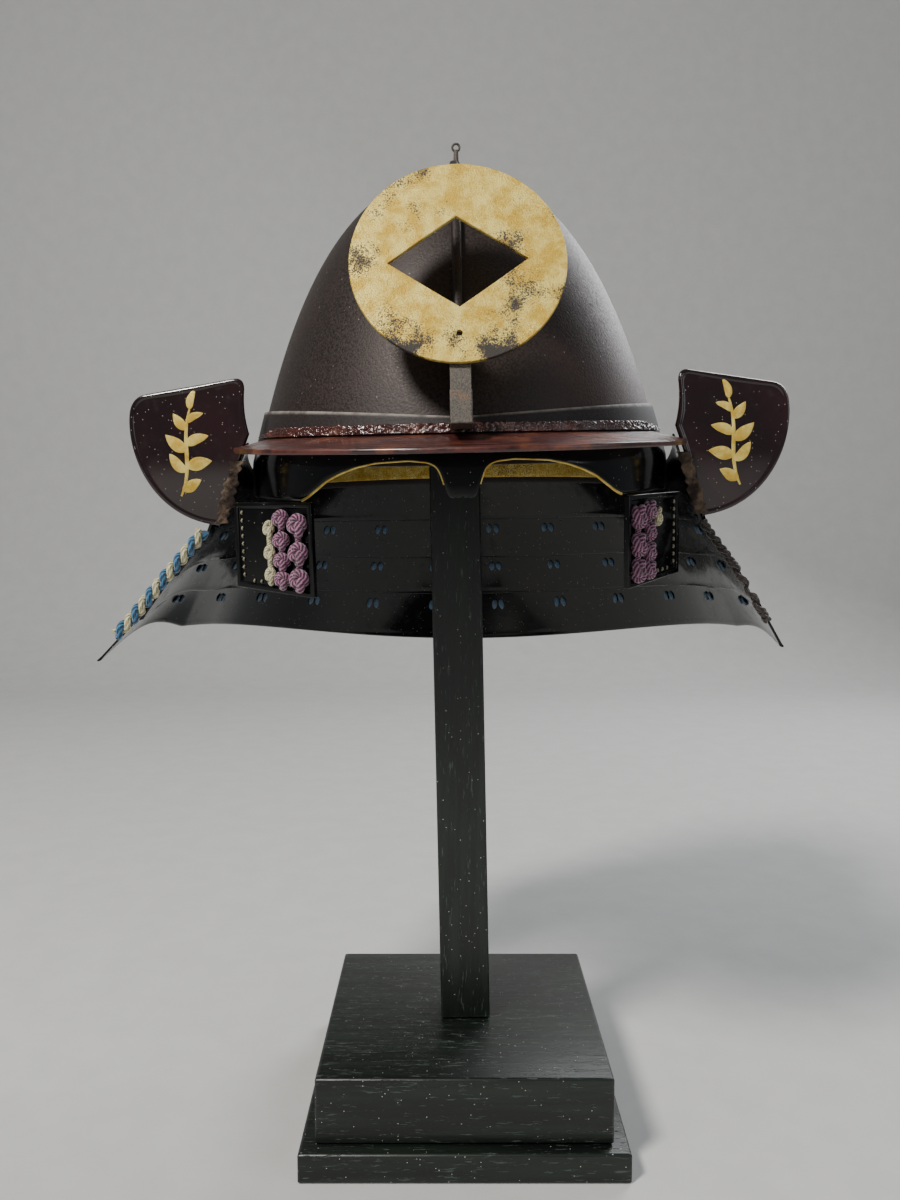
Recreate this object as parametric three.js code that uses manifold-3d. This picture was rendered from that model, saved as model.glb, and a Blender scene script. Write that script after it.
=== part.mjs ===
// A samurai helmet (kabuto) on its plain wooden stand.
// Millimetres, +Z up, the wearer's face looks along -Y. The origin is the middle of the stand's underside.
import * as THREE from 'three';
import { mergeVertices } from 'three/addons/utils/BufferGeometryUtils.js';
import Module from 'manifold-3d';

const wasm = await Module();
wasm.setup();
const { degToRad, lerp } = THREE.MathUtils;

// ---- driving sizes -------------------------------------------------------------------------------
const GAP = 0.3; // left between pieces that touch
const PLATE = 1.5; // lacquered iron plate
const FINE = 1.0; // thin lining

const base = { lowerSide: 168, lowerHeight: 15.6, upperSide: 152, upperHeight: 34.7, edge: 1.2 };
const post = { side: 27.5, footX: 1.5, crownCut: 5, top: 511.9 };
const lean = degToRad(1.2); // post and helmet lean towards -X
const pitch = degToRad(4.4); // the helmet sits nose down
const rimHeight = 366; // middle of the bowl's rim above the table
const helmetShift = 2.7; // the bowl sits a little off the post's middle

// The bowl is peach-shaped: one Bezier profile, wider at the shoulders than a dome and drawn to a point.
const bowl = { halfWidth: 110.5, halfLength: 122, height: 151, wall: 2, rim: { out: 97, up: 50 }, crown: 71 };
const ridge = { width: 5, proud: 4.6, root: 1.2 };
const pin = { x: 1.6, radius: 1.9, height: 8, ringRadius: 1.9, ringWire: 0.7 };

const band = { gap: 0.6, bottom: -17.5, topFront: 21, topBack: 28 };
const lining = { bottom: -13.5, top: 12, inset: 0.8, from: 97.5, to: 262.5 };
const visor = { thick: 2, rootHeight: 11.4, edgeHeight: 5.6, tipHeight: 7, radius: 113, centreY: -47 };
visor.rootTurn = 60; // degrees round the bowl from the middle to where the tip leaves it
visor.edgeTurn = { left: 77.5, right: 79.3 }; // degrees round the visor's own centre to each tip
const flange = { bottom: 13.9, top: 18.4, endTop: 14.8, turn: 67.5, taperFrom: 54 };

const crest = { radius: 47, thick: 2, y: -117.7, z: 86, holeWide: 60.6, holeTall: 42.6, holeTurn: 1 };
crest.lean = degToRad(20.8);
crest.nailHole = { radius: 1.4, drop: 33.5 };
const stem = { width: 9, thick: 3, top: -23.5, shoulder: -58.2, tongueWide: 5.4, tongueThick: 2, tongue: 13 };
const bracket = { width: 9.5, deep: 7, height: 15.5, foot: 4.4, slotGap: 0.3 };

// Neck guard, a row for each plate's lower edge: reach and height at the back, the side and the two front
// ends. The first row is where the top plate starts, on the base band.
const neckRows = [
  { back: 124.8, backZ: -8, side: 113.4, sideZ: -4, left: 106.5, right: 107.5, frontY: -50, frontZ: 12 },
  { back: 131.5, backZ: -43, side: 121.5, sideZ: -35, left: 127, right: 122, frontY: -53, frontZ: -34 },
  { back: 140, backZ: -70.5, side: 131.5, sideZ: -54.5, left: 146, right: 137, frontY: -55, frontZ: -55 },
  { back: 150, backZ: -97.5, side: 142, sideZ: -73, left: 165, right: 150, frontY: -56.5, frontZ: -77 },
  { back: 164, backZ: -132.5, side: 154, sideZ: -94, left: 188, right: 163.5, frontY: -57.5, frontZ: -98 },
];
const neck = { endTurn: 112, flareFrom: 78, overlap: 0.24, shingle: 2.6, droop: 0.21 };
const lacing = { columns: 12, first: -96.5, spacing: 17.9, width: 8.5, thick: 1.5, clear: 1.1 };
lacing.from = 0.55; // in rows of the table above
lacing.to = 3.3;
const edgeCord = { radius: 2.6, outLeft: 5, outRight: 1, forward: 5, from: 0.95, to: 3.3 };

const turnBack = { y: -58, yaw: degToRad(4), bulge: 4.5, middleZ: 7, halfTall: 36, innerX: 108 };
turnBack.leftReachesIn = 2.5; // the left ear's inner edge lies this much nearer the bowl
turnBack.rim = [ // distance in from the edge, half the thickness there
  { inset: 0, half: 0.9 }, { inset: 0.8, half: 1.7 }, { inset: 2.2, half: 1.6 }, { inset: 3, half: 1 },
];
const strip = { top: { x: 110, z: 3 }, foot: { x: 120.5, z: -28 }, width: 7, thick: 1.4, clear: 2.3 };
const temple = { width: 46, tall: 44.5, tallOuter: 41, thick: 1.6, rimThick: 3, rimWide: 2.4, top: -16.6 };
const temples = [
  { side: 'left', sign: -1, x: -68.6, y: -99, yaw: degToRad(29), creamKnots: [0.28, 0.54, 0.78] },
  { side: 'right', sign: 1, x: 76.4, y: -91, yaw: degToRad(47), creamKnots: [0.25] },
];
const knotColumns = { // across and down as fractions of the temple plate, sizes in millimetres
  inner: { across: 0.165, wide: 9.2, tall: 11.5, down: [0.23, 0.53, 0.81] },
  outer: { across: 0.375, wide: 8, tall: 9.2, down: [0.17, 0.4, 0.62, 0.82] },
  cream: { across: 0.53, wide: 5.6, tall: 9 },
};

// ---- finishes ------------------------------------------------------------------------------------
const finish = (color, roughness, metalness) => new THREE.MeshStandardMaterial({ color, roughness, metalness });
const finishes = {
  russetIron: finish(0x2a2524, 0.6, 0.7),
  blackLacquer: finish(0x0b0a0c, 0.15, 0.1),
  brownLacquer: finish(0x26130f, 0.15, 0.1),
  visorLacquer: finish(0x4a1a10, 0.4, 0.1),
  goldLeaf: finish(0xc79a35, 0.5, 0.6),
  goldLining: finish(0x8a6420, 0.6, 0.1),
  iron: finish(0x55504c, 0.6, 0.7),
  leather: finish(0x4a3a30, 0.8, 0),
  purpleCord: finish(0x70405e, 0.8, 0),
  creamCord: finish(0xcfc9a4, 0.8, 0),
  blueCord: finish(0x1f5578, 0.8, 0),
  wood: finish(0x10160f, 0.6, 0),
};

// ---- shape helpers -------------------------------------------------------------------------------
const vec = (x, y, z) => new THREE.Vector3(x, y, z);
const steps = (from, to, count) => Array.from({ length: count + 1 }, (_, i) => lerp(from, to, i / count));

// Straight lines between the rows of a table: rows of [place, value], in order of place.
function along(table, place) {
  const last = table.length - 1;
  if (place <= table[0][0]) return table[0][1];
  if (place >= table[last][0]) return table[last][1];
  const i = table.findIndex((row) => row[0] > place);
  const [a, b] = [table[i - 1], table[i]];
  return lerp(a[1], b[1], (place - a[0]) / (b[0] - a[0]));
}

// A closed body from points and triangles, turned so that its faces point out.
function body(points, index) {
  const geometry = new THREE.BufferGeometry();
  const flat = points.flatMap((p) => [p.x, p.y, p.z]);
  geometry.setAttribute('position', new THREE.Float32BufferAttribute(flat, 3));
  let volume = 0;
  for (let i = 0; i < index.length; i += 3) {
    const [a, b, c] = [points[index[i]], points[index[i + 1]], points[index[i + 2]]];
    volume += a.dot(b.clone().cross(c));
  }
  geometry.setIndex(volume < 0 ? index.slice().reverse() : index);
  geometry.computeVertexNormals();
  return geometry;
}

// A wall: two skins over the same grid of places (u, v), closed along their free edges.
// skin(u, v, side) gives a point, with side 0 for one face and 1 for the other.
function wall(skin, us, vs, ring = false) {
  const points = [0, 1].flatMap((side) => us.flatMap((u) => vs.map((v) => skin(u, v, side))));
  const at = (side, i, j) => (side * us.length + (i % us.length)) * vs.length + j;
  const index = [];
  const quad = (a, b, c, d) => index.push(a, b, c, a, c, d);
  const bottom = vs.length - 1;
  const cells = ring ? us.length : us.length - 1;
  for (let i = 0; i < cells; i++) {
    for (let j = 0; j < bottom; j++) {
      quad(at(0, i, j), at(0, i, j + 1), at(0, i + 1, j + 1), at(0, i + 1, j));
      quad(at(1, i, j), at(1, i + 1, j), at(1, i + 1, j + 1), at(1, i, j + 1));
    }
    quad(at(0, i, 0), at(0, i + 1, 0), at(1, i + 1, 0), at(1, i, 0));
    quad(at(0, i, bottom), at(1, i, bottom), at(1, i + 1, bottom), at(0, i + 1, bottom));
  }
  if (!ring) {
    const end = us.length - 1;
    for (let j = 0; j < bottom; j++) {
      quad(at(0, 0, j), at(1, 0, j), at(1, 0, j + 1), at(0, 0, j + 1));
      quad(at(0, end, j), at(0, end, j + 1), at(1, end, j + 1), at(1, end, j));
    }
  }
  return body(points, index);
}

function toManifold(geometry) {
  const bare = geometry.clone();
  bare.deleteAttribute('normal');
  bare.deleteAttribute('uv');
  const merged = mergeVertices(bare, 1e-4);
  const vertProperties = new Float32Array(merged.attributes.position.array);
  const triVerts = new Uint32Array(merged.index.array);
  return new wasm.Manifold(new wasm.Mesh({ numProp: 3, vertProperties, triVerts }));
}

function fromManifold(manifold) {
  const mesh = manifold.getMesh();
  const geometry = new THREE.BufferGeometry();
  geometry.setAttribute('position', new THREE.BufferAttribute(mesh.vertProperties, 3));
  geometry.setIndex(new THREE.BufferAttribute(mesh.triVerts, 1));
  geometry.computeVertexNormals();
  return geometry;
}

const join = (...parts) => fromManifold(parts.map(toManifold).reduce((sum, part) => sum.add(part)));
const cut = (whole, ...tools) => fromManifold(tools.map(toManifold).reduce((rest, tool) => rest.subtract(tool),
  toManifold(whole)));

function piece(name, geometry, material) {
  const mesh = new THREE.Mesh(geometry, material);
  mesh.name = name;
  return mesh;
}

function place(object, parent, { position, rotation } = {}) {
  if (position) object.position.copy(position);
  if (rotation) object.rotation.set(...rotation);
  parent.add(object);
  return object;
}

const thing = new THREE.Group();
const leaning = place(new THREE.Group(), thing, {
  position: vec(post.footX, 0, base.lowerHeight + GAP + base.upperHeight),
  rotation: [0, -lean, 0],
});
const helmet = place(new THREE.Group(), leaning, {
  position: vec(helmetShift, 0, rimHeight - base.lowerHeight - GAP - base.upperHeight),
  rotation: [pitch, 0, 0],
});

// ---- stand: two stacked blocks and a square post ---------------------------------------------------
function block(side, height) {
  const half = side / 2 - base.edge;
  const corners = [[-half, -half], [half, -half], [half, half], [-half, half]];
  const square = new THREE.Shape(corners.map(([x, y]) => new THREE.Vector2(x, y)));
  const geometry = new THREE.ExtrudeGeometry(square, {
    depth: height - 2 * base.edge, bevelSize: base.edge, bevelThickness: base.edge, bevelSegments: 2,
  });
  return geometry.translate(0, 0, base.edge);
}

place(piece('base_lower', block(base.lowerSide, base.lowerHeight), finishes.wood), thing);
place(piece('base_upper', block(base.upperSide, base.upperHeight), finishes.wood), thing, {
  position: vec(0, 0, base.lowerHeight + GAP),
});

// ---- bowl ------------------------------------------------------------------------------------------
// Reach (half width) and height of the bowl's outer profile, shrunk by inset, at t from rim 0 to crown 1.
function bowlProfile(t, inset = 0) {
  const wide = bowl.halfWidth - inset;
  const tall = bowl.height - inset;
  const out = (1 - t) ** 3 * wide + 3 * (1 - t) ** 2 * t * (bowl.rim.out - inset)
    + 3 * (1 - t) * t ** 2 * (bowl.crown - inset);
  const up = 3 * (1 - t) ** 2 * t * bowl.rim.up + (3 * (1 - t) * t ** 2 + t ** 3) * tall;
  return { out, up };
}
const longer = bowl.halfLength / bowl.halfWidth;

// The place on the profile at a height above the rim, found by halving, and the bowl's reach there.
function bowlPlace(height, inset = 0) {
  let [low, high] = [0, 1];
  for (let i = 0; i < 30; i++) {
    const middle = (low + high) / 2;
    if (bowlProfile(middle, inset).up < height) low = middle;
    else high = middle;
  }
  return low;
}
const bowlReach = (height, inset = 0) => bowlProfile(bowlPlace(height, inset), inset).out;

// A point round the helmet: azimuth 0 is the front, 90 the wearer's left (+X), at a given half width.
function round(azimuth, reach, height, extra = 0) {
  const a = degToRad(azimuth);
  const x = Math.sin(a) * reach;
  const y = -Math.cos(a) * reach * longer;
  const normal = vec(Math.sin(a) * longer, -Math.cos(a), 0).normalize();
  return vec(x + normal.x * extra, y + normal.y * extra, height);
}

function bowlGeometry() {
  const rows = 11;
  const outer = steps(0, 1, rows).map((t) => bowlProfile(t));
  const inner = steps(1, 0, rows).map((t) => bowlProfile(t, bowl.wall));
  const profile = [...inner, ...outer].map(({ out, up }) => new THREE.Vector2(Math.max(out, 0), up));
  const shell = new THREE.LatheGeometry(profile, 48).rotateX(Math.PI / 2).scale(1, longer, 1);
  return join(shell, ridgeGeometry(rows));
}

// The ridge is a rib along the bowl's middle line, from above the base band over the crown to the back.
function ridgeGeometry(rows) {
  const half = (foot, sign) => steps(bowlPlace(foot + GAP + ridge.root), 1, rows).map((t) => {
    const { out, up } = bowlProfile(t);
    return vec(0, sign * out * longer, up);
  });
  const line = [...half(band.topFront, -1), ...half(band.topBack, 1).reverse().slice(1)];
  const normals = line.map((_, i) => {
    const course = line[Math.min(i + 1, line.length - 1)].clone().sub(line[Math.max(i - 1, 0)]).normalize();
    return vec(0, -course.z, course.y);
  });
  const section = [[-0.5, 0.55], [-0.25, 1], [0.25, 1], [0.5, 0.55]];
  return wall((i, j, side) => {
    const [across, up] = section[j];
    const lift = side ? -ridge.root : ridge.proud * up;
    return line[i].clone().addScaledVector(normals[i], lift).setX(across * ridge.width);
  }, line.map((_, i) => i), section.map((_, j) => j));
}

place(piece('bowl', bowlGeometry(), finishes.russetIron), helmet);

// A small split pin stands on the crown, with a wire eye.
function crownPin() {
  const shank = new THREE.CylinderGeometry(pin.radius * 0.8, pin.radius, pin.height, 10).rotateX(Math.PI / 2);
  const eye = new THREE.TorusGeometry(pin.ringRadius, pin.ringWire, 6, 12).rotateX(Math.PI / 2);
  return join(shank, eye.translate(0, 0, pin.height / 2 + pin.ringRadius * 0.6));
}
place(piece('crown_pin', crownPin(), finishes.iron), helmet, {
  position: vec(pin.x, 0, bowl.height + ridge.proud + GAP + pin.height / 2),
});

// The post stands on the base and carries the bowl's crown from inside.
function postGeometry() {
  const half = post.side / 2;
  const foot = GAP + half * Math.tan(lean) + GAP;
  const crown = post.top - leaning.position.z;
  const sections = [[foot, half], [crown - post.crownCut, half], [crown, half - post.crownCut]];
  const corners = [[-1, -1], [1, -1], [1, 1], [-1, 1]];
  const points = sections.flatMap(([z, h]) => corners.map(([x, y]) => vec(x * h, y * h, z)));
  const index = [0, 2, 1, 0, 3, 2, 8, 9, 10, 8, 10, 11];
  for (const low of [0, 4])
    for (let i = 0; i < 4; i++) {
      const [a, b] = [low + i, low + ((i + 1) % 4)];
      index.push(a, b, b + 4, a, b + 4, a + 4);
    }
  return body(points, index);
}
place(piece('post', postGeometry(), finishes.wood), leaning);

// ---- base band: a plate ring round the rim, with two brow arches and a nose tab between them --------
const archTable = [ // azimuth in degrees, height of the band's lower edge
  [0, -14.6], [3.6, -13.2], [4.2, -7.4], [4.8, -3.2], [5.8, -0.4], [7.6, 1.3], [12, 2.2], [20, 1.4], [25, -0.5],
  [29, -3], [33, -6.2], [36.5, -10.4], [39.5, -13.8], [42, -15.8], [60, -15.8], [90, band.bottom],
  [180, band.bottom],
];
const fromFront = (azimuth) => Math.min(azimuth, 360 - azimuth);
const bandTop = (azimuth) => lerp(band.topFront, band.topBack, Math.sin(degToRad(Math.min(azimuth, 90))));

function bandGeometry() {
  const turns = new Set([...steps(0, 180, 24), ...archTable.map(([azimuth]) => azimuth)]);
  const half = [...turns].sort((a, b) => a - b);
  const azimuths = [...half, ...half.slice(1, -1).map((a) => 360 - a).reverse()];
  return wall((azimuth, row, side) => {
    const turn = fromFront(azimuth);
    const low = along(archTable, turn);
    const height = [low, Math.max(low + PLATE, 1), bandTop(turn)][row];
    return round(azimuth, bowlReach(Math.max(height, 0)), height, band.gap + side * PLATE);
  }, azimuths, [0, 1, 2], true);
}
place(piece('base_band', bandGeometry(), finishes.blackLacquer), helmet);

// A gilt lining lies inside the back of the rim.
const liningGeometry = wall((azimuth, height, side) => {
  const reach = bowlReach(Math.max(height, 0), bowl.wall) - lining.inset;
  return round(azimuth, reach, height, -side * FINE);
}, steps(lining.from, lining.to, 22), [lining.bottom, 0, lining.top]);
place(piece('rim_lining', liningGeometry, finishes.goldLining), helmet);

// ---- visor: a crescent shelf under a narrow upright flange ------------------------------------------
const onBand = band.gap + PLATE + GAP; // clear of the base band's outer face

const visorGeometry = wall((u, v, side) => {
  const root = round(u * visor.rootTurn, bowlReach(visor.rootHeight), visor.rootHeight, onBand);
  const turn = degToRad(u * (u < 0 ? visor.edgeTurn.left : visor.edgeTurn.right));
  const height = lerp(visor.edgeHeight, visor.tipHeight, u ** 2);
  const edge = vec(Math.sin(turn) * visor.radius, visor.centreY - Math.cos(turn) * visor.radius, height);
  return root.lerp(edge, v).add(vec(0, 0, side * visor.thick));
}, steps(-1, 1, 24), [0, 0.5, 1]);
place(piece('visor', visorGeometry, finishes.visorLacquer), helmet);

const flangeTaper = [[flange.taperFrom, flange.top], [flange.turn, flange.endTop]];
const flangeTop = (azimuth) => along(flangeTaper, Math.abs(azimuth));
const flangeGeometry = wall((azimuth, v, side) => {
  const height = lerp(flange.bottom, flangeTop(azimuth), v);
  return round(azimuth, bowlReach(height), height, onBand + side * PLATE);
}, steps(-flange.turn, flange.turn, 20), [0, 1]);
place(piece('visor_flange', flangeGeometry, finishes.visorLacquer), helmet);

// ---- crest: a gilt disc on a stem whose tongue drops into a bracket above the visor ------------------
// Crest sizes run along its own plane: x across, y up the lean, z out of its face.
const crestGroup = place(new THREE.Group(), helmet, {
  position: vec(0, crest.y, crest.z),
  rotation: [Math.PI / 2 - crest.lean, 0, 0],
});
crestGroup.updateMatrix();

function boxBetween(x, [y0, y1], [z0, z1]) {
  return new THREE.BoxGeometry(2 * x, y1 - y0, z1 - z0).translate(0, (y0 + y1) / 2, (z0 + z1) / 2);
}

function discGeometry() {
  const disc = new THREE.Shape().absarc(0, 0, crest.radius, 0, 2 * Math.PI);
  const [wide, tall] = [crest.holeWide / 2, crest.holeTall / 2];
  const turn = degToRad(crest.holeTurn);
  const corners = [[wide, 0], [0, tall], [-wide, 0], [0, -tall]];
  const turned = corners.map(([x, y]) => new THREE.Vector2(x, y).rotateAround(new THREE.Vector2(), turn));
  disc.holes.push(new THREE.Path(turned));
  const { radius, drop } = crest.nailHole;
  disc.holes.push(new THREE.Path().absarc(0, -drop, radius, 0, 2 * Math.PI));
  return new THREE.ExtrudeGeometry(disc, { depth: crest.thick, bevelEnabled: false, curveSegments: 24 });
}
place(piece('crest_disc', discGeometry(), finishes.goldLeaf), crestGroup);

function stemGeometry() {
  const tongueEnd = stem.shoulder - stem.tongue;
  const shank = boxBetween(stem.width / 2, [stem.shoulder, stem.top], [-GAP - stem.thick, -GAP]);
  const middle = -GAP - stem.thick / 2;
  const tongueBack = [middle - stem.tongueThick / 2, middle + stem.tongueThick / 2];
  const tongue = boxBetween(stem.tongueWide / 2, [tongueEnd, stem.shoulder + 1], tongueBack);
  return join(shank, tongue);
}
place(piece('crest_stem', stemGeometry(), finishes.iron), crestGroup);

// The bracket is a small upright box on a foot that runs back to the flange; the tongue sits in its slot.
function bracketGeometry() {
  const middle = -GAP - stem.thick / 2;
  const top = stem.shoulder - GAP;
  const deep = [middle - bracket.deep / 2, middle + bracket.deep / 2];
  const upright = boxBetween(bracket.width / 2, [top - bracket.height, top], deep);
  const wide = stem.tongueWide / 2 + bracket.slotGap;
  const thin = stem.tongueThick / 2 + bracket.slotGap;
  const slotFoot = stem.shoulder - stem.tongue - bracket.slotGap;
  const slot = boxBetween(wide, [slotFoot, top + 1], [middle - thin, middle + thin]);
  const bend = vec(0, top - bracket.height + bracket.foot / 2, middle).applyMatrix4(crestGroup.matrix);
  const heights = [bend.z - bracket.foot / 2, bend.z + bracket.foot / 2];
  const back = -bowlReach(heights[0]) * longer - onBand - PLATE - GAP;
  const foot = boxBetween(bracket.width / 2, [bend.y, back], heights);
  return cut(join(upright.applyMatrix4(crestGroup.matrix), foot), slot.applyMatrix4(crestGroup.matrix));
}
place(piece('crest_bracket', bracketGeometry(), finishes.iron), helmet);

// ---- neck guard ---------------------------------------------------------------------------------------
// A point on the guard's own surface. turn runs from the back (0) to a front end (112 degrees), negative on
// the left (-X); row counts down the table's rows and may be a fraction; lift moves the point outwards.
function neckPoint(turn, row, lift = 0) {
  const low = THREE.MathUtils.clamp(Math.floor(row), 0, neckRows.length - 2);
  const [a, b] = [neckRows[low], neckRows[low + 1]];
  const value = (key) => lerp(a[key], b[key], row - low);
  const angle = Math.abs(turn);
  const beyond = Math.max(angle - 90, 0) / (neck.endTurn - 90);
  const rise = 1 - Math.cos(degToRad(Math.min(angle, 90)));
  const flare = Math.max((angle - neck.flareFrom) / (neck.endTurn - neck.flareFrom), 0) ** 2;
  const end = value(turn < 0 ? 'left' : 'right') - value('side') * Math.sin(degToRad(neck.endTurn));
  const x = Math.sign(turn) * (value('side') * Math.sin(degToRad(angle)) + end * flare);
  const y = angle < 90 ? value('back') * Math.cos(degToRad(angle)) : value('frontY') * beyond;
  const sideRise = lerp(value('backZ'), value('sideZ'), rise * (1.5 - 0.5 * rise));
  // The hanging plates stay level though the bowl leans, and the end's edge rises before its tip droops.
  const level = -x * Math.tan(lean) * (row / 4) * (1 - beyond);
  const hump = neck.droop * end * Math.sin(Math.PI * beyond) * (row / 4);
  const z = lerp(sideRise, value('frontZ'), beyond) + level + hump;
  const outwards = vec(x, y, 0).normalize();
  return vec(x, y, z).addScaledVector(outwards, lift);
}

// Each plate starts behind the foot of the one above, on its outside.
for (let row = 1; row < neckRows.length; row++) {
  const top = row - 1 - (row > 1 ? neck.overlap : 0);
  const geometry = wall((turn, v, side) => {
    const lift = row > 1 ? lerp(neck.shingle, 0, v) : 0;
    return neckPoint(turn, lerp(top, row, v), lift + side * PLATE);
  }, steps(-neck.endTurn, neck.endTurn, 36), [0, 0.5, 1]);
  place(piece(`neck_plate_${row}`, geometry, finishes.blackLacquer), helmet);
}

// Blue lacing straps run down the outside of the guard in columns.
const outermost = neck.shingle + PLATE + lacing.clear;
for (let column = 0; column < lacing.columns; column++) {
  const turn = lacing.first + column * lacing.spacing;
  const reach = neckRows[2].side;
  const half = THREE.MathUtils.radToDeg(lacing.width / 2 / reach);
  const geometry = wall((row, u, side) => neckPoint(turn + u * half, row, outermost + side * lacing.thick),
    steps(lacing.from, lacing.to, 6), [-1, 1]);
  place(piece(`lacing_column_${column + 1}`, geometry, finishes.blueCord), helmet);
}

// A cord wraps down each front end of the guard.
function edgeCordGeometry(sign) {
  const out = sign < 0 ? edgeCord.outLeft : edgeCord.outRight;
  const forward = vec(0, -edgeCord.forward, 0);
  const line = steps(edgeCord.from, edgeCord.to, 8).map((row) => neckPoint(sign * neck.endTurn, row, out).add(forward));
  const section = new THREE.Shape().absarc(0, 0, edgeCord.radius, 0, 2 * Math.PI);
  const extrudePath = new THREE.CatmullRomCurve3(line);
  return new THREE.ExtrudeGeometry(section, { steps: 16, curveSegments: 4, bevelEnabled: false, extrudePath });
}
place(piece('edge_lacing_left', edgeCordGeometry(-1), finishes.blueCord), helmet);
place(piece('edge_lacing_right', edgeCordGeometry(1), finishes.leather), helmet);

// ---- turn-backs: glossy ears with a beaded rim, folded out from the guard's top plate ----------------
function turnBackOutline(sign) {
  const outline = new THREE.Shape();
  const inner = sign < 0 ? turnBack.leftReachesIn : 0;
  outline.moveTo(108.5 - inner, 38);
  outline.quadraticCurveTo(108.5 - inner, 43.5, 113 - inner, 43.3);
  outline.lineTo(155.5, 36.6);
  outline.quadraticCurveTo(163, 35.5, 164, 27);
  outline.bezierCurveTo(166, 8, 156, -26, 122, -29.3);
  outline.lineTo(106.5 - inner, 16);
  outline.quadraticCurveTo(109.5 - inner, 27, 108.5 - inner, 38);
  return outline.getPoints(8).slice(0, -1);
}
const turnBackY = (x, z) => turnBack.y + (x - turnBack.innerX) * Math.tan(turnBack.yaw)
  - turnBack.bulge * (1 - ((z - turnBack.middleZ) / turnBack.halfTall) ** 2);

function turnBackGeometry(sign) {
  const outline = turnBackOutline(sign);
  const middle = new THREE.Vector2();
  outline.forEach((p) => middle.addScaledVector(p, 1 / outline.length));
  const rings = turnBack.rim.flatMap(({ inset, half }) => [{ inset, offset: half }]);
  const stack = [...rings.slice().reverse(), ...rings.map(({ inset, offset }) => ({ inset, offset: -offset }))];
  const points = stack.flatMap(({ inset, offset }) => outline.map((p) => {
    const q = p.clone().sub(middle);
    q.setLength(q.length() - inset).add(middle);
    return vec(sign * q.x, turnBackY(q.x, q.y) - offset, q.y);
  }));
  const count = outline.length;
  const centres = [1, -1].map((face) => {
    const half = turnBack.rim.at(-1).half;
    return vec(sign * middle.x, turnBackY(middle.x, middle.y) - face * half, middle.y);
  });
  const index = [];
  for (let ring = 0; ring < stack.length - 1; ring++)
    for (let i = 0; i < count; i++) {
      const [a, b] = [ring * count + i, ring * count + ((i + 1) % count)];
      index.push(a, b, b + count, a, b + count, a + count);
    }
  const last = (stack.length - 1) * count;
  for (let i = 0; i < count; i++) {
    const next = (i + 1) % count;
    index.push(points.length, next, i, points.length + 1, last + i, last + next);
  }
  return body([...points, ...centres], index);
}

// A leather strip covers the joint between each ear and the guard.
const stripGeometry = (sign) => wall((v, u, side) => {
  const x = lerp(strip.top.x, strip.foot.x, v) + u * strip.width / 2;
  const z = lerp(strip.top.z, strip.foot.z, v);
  return vec(sign * x, turnBackY(x, z) - strip.clear - side * strip.thick, z);
}, steps(0, 1, 4), [-1, 1]);

for (const [side, sign] of [['left', -1], ['right', 1]]) {
  place(piece(`turn_back_${side}`, turnBackGeometry(sign), finishes.brownLacquer), helmet);
  place(piece(`leather_strip_${side}`, stripGeometry(sign), finishes.leather), helmet);
}

// ---- temple plates with knotted cords ------------------------------------------------------------------
// In a plate's own frame x runs from its inner edge outwards, y up, z out of its face.
function templeGeometry(sign) {
  const outline = (inset) => [
    [inset, -inset], [temple.width - inset, -inset],
    [temple.width - inset, inset - temple.tallOuter], [inset, inset - temple.tall],
  ].map(([x, y]) => new THREE.Vector2(sign * x, y));
  const plate = new THREE.Shape(outline(0));
  const frame = new THREE.Shape(outline(0));
  frame.holes.push(new THREE.Path(outline(temple.rimWide).reverse()));
  return join(
    new THREE.ExtrudeGeometry(plate, { depth: temple.thick, bevelEnabled: false }),
    new THREE.ExtrudeGeometry(frame, { depth: temple.rimThick, bevelEnabled: false }),
  );
}

// Knots in a column are threaded on one cord, so they and the cord are one body.
function knotColumn(sign, { across, wide, tall, down }) {
  const depth = wide * 0.36;
  const x = sign * across * temple.width;
  const z = temple.thick + GAP + depth;
  const places = down.map((part) => -part * temple.tall);
  const knot = new THREE.SphereGeometry(1, 8, 6).scale(wide / 2, tall / 2, depth);
  const parts = places.map((y) => knot.clone().translate(x, y, z));
  const cord = new THREE.BoxGeometry(wide / 3, Math.max(...places) - Math.min(...places) + tall / 2, depth);
  parts.push(cord.translate(x, (Math.max(...places) + Math.min(...places)) / 2, z));
  return join(...parts);
}

for (const { side, sign, x, y, yaw, creamKnots } of temples) {
  const frame = place(new THREE.Group(), helmet, {
    position: vec(x, y, temple.top),
    rotation: [Math.PI / 2, sign * yaw, 0],
  });
  place(piece(`temple_plate_${side}`, templeGeometry(sign), finishes.blackLacquer), frame);
  place(piece(`inner_knots_${side}`, knotColumn(sign, knotColumns.inner), finishes.purpleCord), frame);
  place(piece(`outer_knots_${side}`, knotColumn(sign, knotColumns.outer), finishes.purpleCord), frame);
  const cream = { ...knotColumns.cream, down: creamKnots };
  place(piece(`cream_knots_${side}`, knotColumn(sign, cream), finishes.creamCord), frame);
}

export default thing;
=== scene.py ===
# %% [markdown]
# A samurai helmet on its wooden stand.
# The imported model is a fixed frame: every hard piece is already there, at its real size and in its real
# place, but with flat faces and no finish. This lesson dresses it. Smooth shells are worked out again from
# the formulas that shape the helmet, cords become braids, and iron, lacquer, gold leaf, leather and wood
# are painted with shader nodes. Nothing is fitted by eye: a new piece lies where the frame says.

import math

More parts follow.
